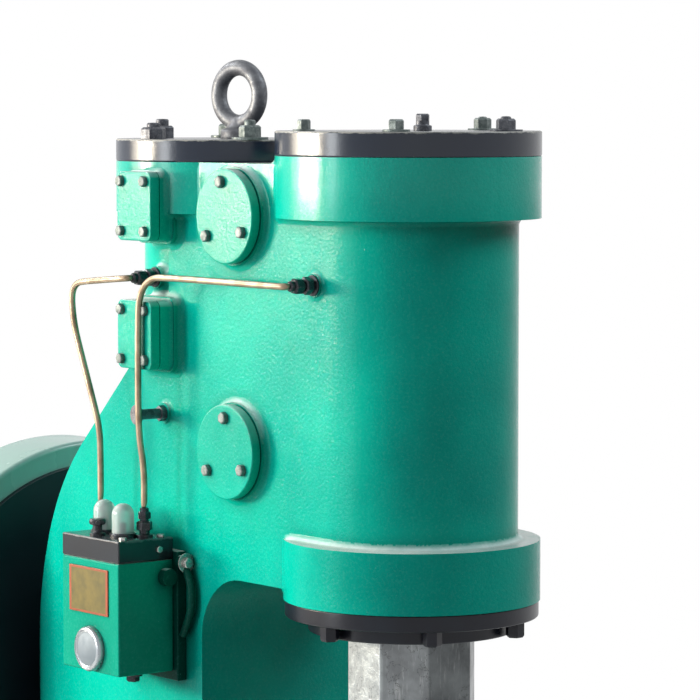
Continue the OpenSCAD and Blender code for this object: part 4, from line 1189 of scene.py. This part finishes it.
@dataclass
class OilLines:
    """Both copper pipes, the unions where they enter the frame, and the stud that steadies one of them."""

    wall_ends: tuple[Pair, ...] = ((23.0, 1398.0), (349.0, 1395.0))

    def build(self) -> None:
        """Build the pipes, unions and support."""
        for node in ("front_oil_pipe", "rear_oil_pipe"):
            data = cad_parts[node].data.copy()
            done = applied(data, node + "_drawn", [
                ("WELD", {"merge_threshold": 2e-5}), ("SUBSURF", {"levels": 2, "render_levels": 2}),
                ("DISPLACE", {"strength": 0.00025, "mid_level": 0.0})])
            publish_mesh(done, node + "_drawn", COPPER, stands_for=(node,))
        unions = Workpiece()
        for y, z in self.wall_ends:
            unions.lathe([(0, -2), (12.5, -2), (12.5, 2), (7.5, 3.5), (7.5, 6), (6.4, 8), (6.4, 34), (4.6, 36),
                          (0, 36)], Seat((-WALL_X - 4, y, z), (-1, 0, 0)), 32, 0.5)
            HexBolt(19, 10, 0).fit(unions, Seat((-WALL_X - 9, y, z), (-1, 0, 0), 8))
            HexBolt(17, 12, 0).fit(unions, Seat((-WALL_X - 22, y, z), (-1, 0, 0), 25))
        unions.publish("frame_unions", BLACK_FITTING, Slot.FITTING, stands_for=("wall_unions",))
        remake("pipe_support", "pipe_stud", DARK_BOLT, Slot.FITTING, 0.8, 2)


@dataclass
class Drive:
    """Belt guard, bearing housing, motor and its bed."""

    guard_r: float = 296.0
    foot_r: float = 100.0
    depth: float = 105.0
    rim: float = 31.0
    step: float = 8.0
    housing_y: float = 682.0
    housing_screw_r: float = 75.0
    fin_mm: float = 9.5
    nose_y: float = 794.0
    barrel_r: float = 95.0
    foot_bolts: tuple[Pair, ...] = ((-103.0, 45.0), (-103.0, 155.0), (103.0, 45.0), (103.0, 155.0))
    box_screws: tuple[Pair, ...] = ((-40.0, 10.0), (-40.0, 80.0), (40.0, 10.0), (40.0, 80.0))

    def outline(self, inset: float, steps: int = 64) -> list[Pair]:
        """Give the guard's outline in X and Z: two round ends joined by their tangents.

        Args:
            inset: Distance that the outline is drawn in.
            steps: Facets round the upper end.

        Returns:
            Corner points in order.
        """
        tilt = math.asin((self.guard_r - self.foot_r) / (CRANK_Z - MOTOR_Z))
        points = []
        for centre, r, a0, a1, n in ((CRANK_Z, self.guard_r - inset, -tilt, math.pi + tilt, steps),
                                     (MOTOR_Z, self.foot_r - inset, math.pi + tilt, math.tau - tilt, steps // 3)):
            for i in range(n + 1):
                a = a0 + (a1 - a0) * i / n
                points.append((r * math.cos(a), centre + r * math.sin(a)))
        return points

    def build(self) -> None:
        """Build every piece of the drive."""
        self.guard()
        housing = Workpiece.of_node("rear_bearing_housing", 3.0)
        for i in range(6):
            a = math.tau * (i + 0.5) / 6
            foot = (self.housing_screw_r * math.cos(a), self.housing_y, CRANK_Z + self.housing_screw_r * math.sin(a))
            HexBolt(13, 5, 0).fit(housing, Seat(foot, (0, 1, 0), 9.0 * i))
        housing.publish("bearing_housing", SMALL_CASTING, Slot.CASTING, stands_for=("rear_bearing_housing",))
        stays = Workpiece.of_node("guard_stays", 0.8, 2)
        for s in (-1, 1):
            HexBolt(19, 10, 2).fit(stays, Seat((s * 90, 670, 400), (0, 1, 0), 6))
        stays.publish("guard_stay_bolts", PIN_STEEL, Slot.PIN, stands_for=("guard_stays",))
        self.motor()

    def guard(self) -> None:
        """Build the guard's shell with its flat rim, painted pale partly as a painted sky reflection, and its front
        face, painted near-black partly as painted shade.
        """
        edge_y = GUARD_Y + self.step
        for name, finish, inset, y0, y1, front_r, stands in (
                ("belt_guard_shell", GUARD_SHELL_PAINT_AND_SHEEN, 0.0, edge_y, GUARD_Y + self.depth, 7.0, ("belt_guard",)),
                ("belt_guard_face", GUARD_FACE_PAINT_AND_SHADE, self.rim, GUARD_Y, edge_y + 4, 1.5, ())):
            shell = bmesh.new()
            face = shell.faces.new([shell.verts.new((x, y1, z)) for x, z in self.outline(inset)])
            made = bmesh.ops.extrude_face_region(shell, geom=[face])
            raised = [v for v in made["geom"] if isinstance(v, bmesh.types.BMVert)]
            bmesh.ops.translate(shell, vec=(0, y0 - y1, 0), verts=raised)
            bmesh.ops.recalc_face_normals(shell, faces=shell.faces)
            # only the rim that faces the machine is rounded
            front = [e for e in shell.edges if all(abs(v.co.y - y0) < 0.01 for v in e.verts)]
            bmesh.ops.bevel(shell, geom=front, offset=front_r, offset_type="OFFSET", segments=5, profile=0.5,
                            affect="EDGES", clamp_overlap=True, material=-1)
            guard = Workpiece()
            guard.take(shell)
            guard.publish(name, finish, Slot.GUARD, stands_for=stands)

    def motor(self) -> None:
        """Build the finned motor, its cowl with a ringed grille, its box and its bed."""
        body = Workpiece()
        barrel = bmesh.new()
        bmesh.ops.create_cone(barrel, cap_ends=True, segments=144, radius1=self.barrel_r, radius2=self.barrel_r,
                              depth=180)
        bmesh.ops.recalc_face_normals(barrel, faces=barrel.faces)
        walls = [f for f in barrel.faces if len(f.verts) == 4]
        walls.sort(key=lambda f: math.atan2(f.calc_center_median().y, f.calc_center_median().x))
        # every fourth facet grows into a cooling fin
        grown = bmesh.ops.extrude_discrete_faces(barrel, faces=walls[::4])
        for rib in grown["faces"]:
            centre = rib.calc_center_median()
            out = Vector((centre.x, centre.y, 0)).normalized() * self.fin_mm
            bmesh.ops.translate(barrel, vec=out, verts=rib.verts)
        body.take(barrel, Seat((0, MOTOR_Y + 100, MOTOR_Z), (0, 1, 0)))
        for y0, y1 in ((MOTOR_Y, MOTOR_Y + 16), (MOTOR_Y + 190, MOTOR_Y + 205)):
            ring = [(0, 0), (100, 0), (104.5, 5), (104.5, y1 - y0), (0, y1 - y0)]
            body.lathe(ring, Seat((0, y0, MOTOR_Z), (0, 1, 0)), 72, 1.5)
        nose = [(0, 0), (30, 0), (30, 22), (45, 22), (62, 27), (0, 27)]
        body.lathe(nose, Seat((0, self.nose_y, MOTOR_Z), (0, 1, 0)), 48, 1.0)
        for s in (-1, 1):
            body.block((s * 85 - 30, MOTOR_Y + 25, 70), (s * 85 + 30, MOTOR_Y + 175, 84), 3)
            body.block((s * 78 - 8, MOTOR_Y + 25, 78), (s * 78 + 8, MOTOR_Y + 175, 130), 3)
        body.block((-80, MOTOR_Y + 30, 80), (80, MOTOR_Y + 170, 120), 3)
        body.publish("motor_finned", MOTOR_ENAMEL, Slot.MOTOR, stands_for=("motor_body",))
        cowl = Workpiece()
        y = MOTOR_Y + 205
        cowl.lathe([(0, 0), (101.8, 0), (101.8, 62), (96, 70), (86, 73.5), (84, 70), (76, 70), (74, 73.5), (66, 73.5),
                    (64, 70), (56, 70), (54, 74), (46, 74), (44, 70), (36, 70), (34, 74.5), (0, 75)],
                   Seat((0, y, MOTOR_Z), (0, 1, 0)), 72, 0.8)
        cowl.publish("motor_fan_cowl", MOTOR_ENAMEL, Slot.MOTOR, stands_for=("motor_cowl",))
        box = Workpiece.of_node("motor_terminal_box", 2.5)
        low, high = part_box("motor_terminal_box")
        for x, dy in self.box_screws:
            HexBolt(8, 3, 0).fit(box, Seat((x, low.y * 1000 + dy, high.z * 1000)))
        box.publish("terminal_box", MOTOR_ENAMEL, Slot.MOTOR, stands_for=("motor_terminal_box",))
        remake("motor_bed", "motor_bed_welded", BRACKET_ENAMEL, Slot.MOTOR, 3.0)
        bolts = Workpiece()
        for x, dy in self.foot_bolts:
            HexBolt(17, 10, 2.5).fit(bolts, Seat((x, MOTOR_Y + dy, 84), turn=7.0 * dy))
        bolts.publish("motor_foot_bolts", ZINC_BOLT, Slot.ZINC)


@dataclass
class LowerWorks:
    """Crankcase doors, the treadle and its pins."""

    door_z: float = 550.0
    door_y: float = 400.0
    half: float = 154.0
    lean: float = 8.695
    bolt_r: float = 88.0

    def build(self) -> None:
        """Build the doors with their bolts, the treadle and its pins."""
        lean = math.radians(self.lean)
        for s, side in ((-1, "left"), (1, "right")):
            node = side + "_crankcase_door"
            door = Workpiece.of_node(node, 2.5)
            out = Vector((s * math.cos(lean), 0, math.sin(lean)))
            up = Vector((-s * math.sin(lean), 0, math.cos(lean)))
            centre = Vector((s * self.half, self.door_y, self.door_z)) + out * 20
            door.publish(node + "_painted", SMALL_CASTING, Slot.CASTING, stands_for=(node,))
            bolts = Workpiece()
            for i in range(8):
                a = math.tau * i / 8
                foot = centre + Vector((0, self.bolt_r * math.cos(a), 0)) + up * self.bolt_r * math.sin(a)
                HexBolt(17, 10, 2).fit(bolts, Seat(tuple(foot), tuple(out), 9.0 * i))
            bolts.lathe([(0, -0.5), (16, -0.5), (16, 3), (11, 6), (11, 16), (14, 20), (14, 26), (0, 27)],
                        Seat(tuple(centre), tuple(out)), 36, 0.8)
            bolts.publish(side + "_door_bolts", ZINC_BOLT, Slot.ZINC)
        remake("treadle", "treadle_bar", TREADLE_ENAMEL, Slot.TREADLE, 1.5, 2, 50.0)
        remake("treadle_pins", "treadle_pins_turned", PIN_STEEL, Slot.PIN, 1.0, 2)


@dataclass(frozen=True)
class Lamp:
    """A soft rectangular lamp: its place and aim in metres, its width and height, watts and sRGB hex colour."""

    name: str
    at: Point
    aim: Point
    size: Pair
    power: float
    colour: str

    def hang(self) -> None:
        """Hang the lamp in the scene."""
        light = bpy.data.lights.new(self.name, "AREA")
        light.shape = "RECTANGLE"
        light.size, light.size_y = self.size
        light.energy = self.power
        light.color = linear(self.colour)[:3]
        made = bpy.data.objects.new(self.name, light)
        way = Vector(self.aim) - Vector(self.at)
        made.matrix_world = Matrix.Translation(self.at) @ way.to_track_quat("-Z", "Y").to_matrix().to_4x4()
        bpy.context.scene.collection.objects.link(made)


@dataclass
class Studio:
    """Plain floor, soft lamps, pale surroundings and the camera."""

    # a bright window behind on the left with a smaller one beside it, sky and a rooflight above them, broad
    # daylight on the left, and a high fill from the front right
    lamps: tuple[Lamp, ...] = (
        Lamp("window", (-2.54, 2.58, 1.57), (0.0, 0.1, 1.45), (0.86, 0.42), 108.0, "FFF3DE"),
        Lamp("window side", (-1.9, 3.1, 1.6), (0.0, 0.15, 1.45), (0.75, 0.45), 12.0, "FFF3DE"),
        Lamp("sky", (-2.8, 2.1, 3.5), (0.0, 0.1, 1.2), (2.6, 2.0), 22.0, "F4FAFF"),
        Lamp("rooflight", (-1.3, 3.3, 3.5), (0.0, 0.15, 1.2), (0.7, 0.4), 70.0, "FFFFFF"),
        Lamp("daylight", (-3.62, 1.55, 1.65), (0.0, 0.1, 1.15), (0.75, 2.1), 60.0, "F8FCFF"),
        Lamp("fill", (2.6, -2.3, 4.8), (0.0, 0.0, 1.3), (2.4, 2.4), 120.0, "F2FAFF"))
    camera_at: Point = (-2.5705, -3.1693, 1.6112)
    heading: float = -38.0
    dip: float = 4.12
    lens: float = 175.31
    floor_r: float = 7.0

    def build(self) -> None:
        """Build the floor, the lamps, the world and the camera."""
        self.floor()
        self.world()
        for lamp in self.lamps:
            lamp.hang()
        self.camera()
        bpy.context.scene.view_settings.view_transform = "Standard"

    def floor(self) -> None:
        """Lay a pale floor disc that fades into the surroundings at its rim."""
        disc = bmesh.new()
        bmesh.ops.create_circle(disc, cap_ends=True, segments=96, radius=self.floor_r)
        data = bpy.data.meshes.new("floor")
        disc.to_mesh(data)
        disc.free()
        made = bpy.data.objects.new("floor", data)
        bpy.context.scene.collection.objects.link(made)
        paint = bpy.data.materials.new("pale studio floor")
        paint.use_nodes = True
        tree = paint.node_tree
        tree.nodes.clear()
        at = put(tree, "TexCoord").outputs["Object"]
        off = put(tree, "VectorMath", {0: at}, operation="LENGTH")
        fade = put(tree, "MapRange", {"Value": off.outputs["Value"], 1: 1.7, 2: 4.4}, interpolation_type="SMOOTHSTEP")
        grain = put(tree, "TexNoise", {"Vector": at, "Scale": 3.0, "Detail": 3.0})
        tone = put(tree, "Mix", {0: grain, 6: "E9E9E7", 7: "F1F1F0"}, data_type="RGBA")
        shown = seen(tree)
        # it throws back less light than it shows, so that undersides keep their shade
        felt = put(tree, "Mix", {0: shown, 6: "6A6A6A", 7: tone}, data_type="RGBA")
        lift = put(tree, "Math", {0: shown, 1: 0.32}, operation="MULTIPLY")
        matt = put(tree, "BsdfPrincipled", {"Base Color": felt, "Roughness": 0.7, "Emission Color": "FFFFFF",
                                            "Emission Strength": lift})
        clear = put(tree, "BsdfTransparent")
        both = put(tree, "MixShader", {0: fade, 1: matt, 2: clear})
        put(tree, "OutputMaterial", {"Surface": both})
        data.materials.append(paint)

    def world(self) -> None:
        """Surround the scene with pale light that is white where it is seen, mirrored or passed through."""
        world = bpy.data.worlds.new("pale surroundings")
        bpy.context.scene.world = world
        world.use_nodes = True
        tree = world.node_tree
        tree.nodes.clear()
        shown = seen(tree)
        # the soft light comes mostly from the left, as from a bright side of a hall
        way = put(tree, "TexCoord").outputs["Generated"]
        side = put(tree, "VectorMath", {0: way, 1: (-0.9, 0.08, 0.43)}, operation="DOT_PRODUCT")
        level = put(tree, "MapRange", {"Value": side.outputs["Value"], 1: 0.0, 2: 0.95, 3: 0.05, 4: 0.45})
        soft = put(tree, "Background", {"Color": "E6F2FA", "Strength": level})
        white = put(tree, "Background", {"Color": "FFFFFF", "Strength": 1.0})
        both = put(tree, "MixShader", {0: shown, 1: soft, 2: white})
        put(tree, "OutputWorld", {"Surface": both})

    def camera(self) -> None:
        """Set the camera at standing height in front and to the left."""
        data = bpy.data.cameras.new("camera")
        data.lens = self.lens
        data.sensor_width = 36.0
        data.clip_end = 100.0
        made = bpy.data.objects.new("camera", data)
        made.location = self.camera_at
        made.rotation_euler = (math.radians(90 - self.dip), 0.0, math.radians(self.heading))
        bpy.context.scene.collection.objects.link(made)
        bpy.context.scene.camera = made


def main() -> None:
    """Build every sub-assembly in order, and then the studio."""
    logging.basicConfig(level=logging.INFO, format="%(name)s: %(message)s")
    for part in (MainCasting(), CylinderCovers(), LiftingEye(), SideCovers(), RamAndDies(), Lubricator(), OilLines(),
                 Drive(), LowerWorks(), Studio()):
        part.build()
        log.info("built %s", type(part).__name__)


if __name__ == "__main__":
    main()
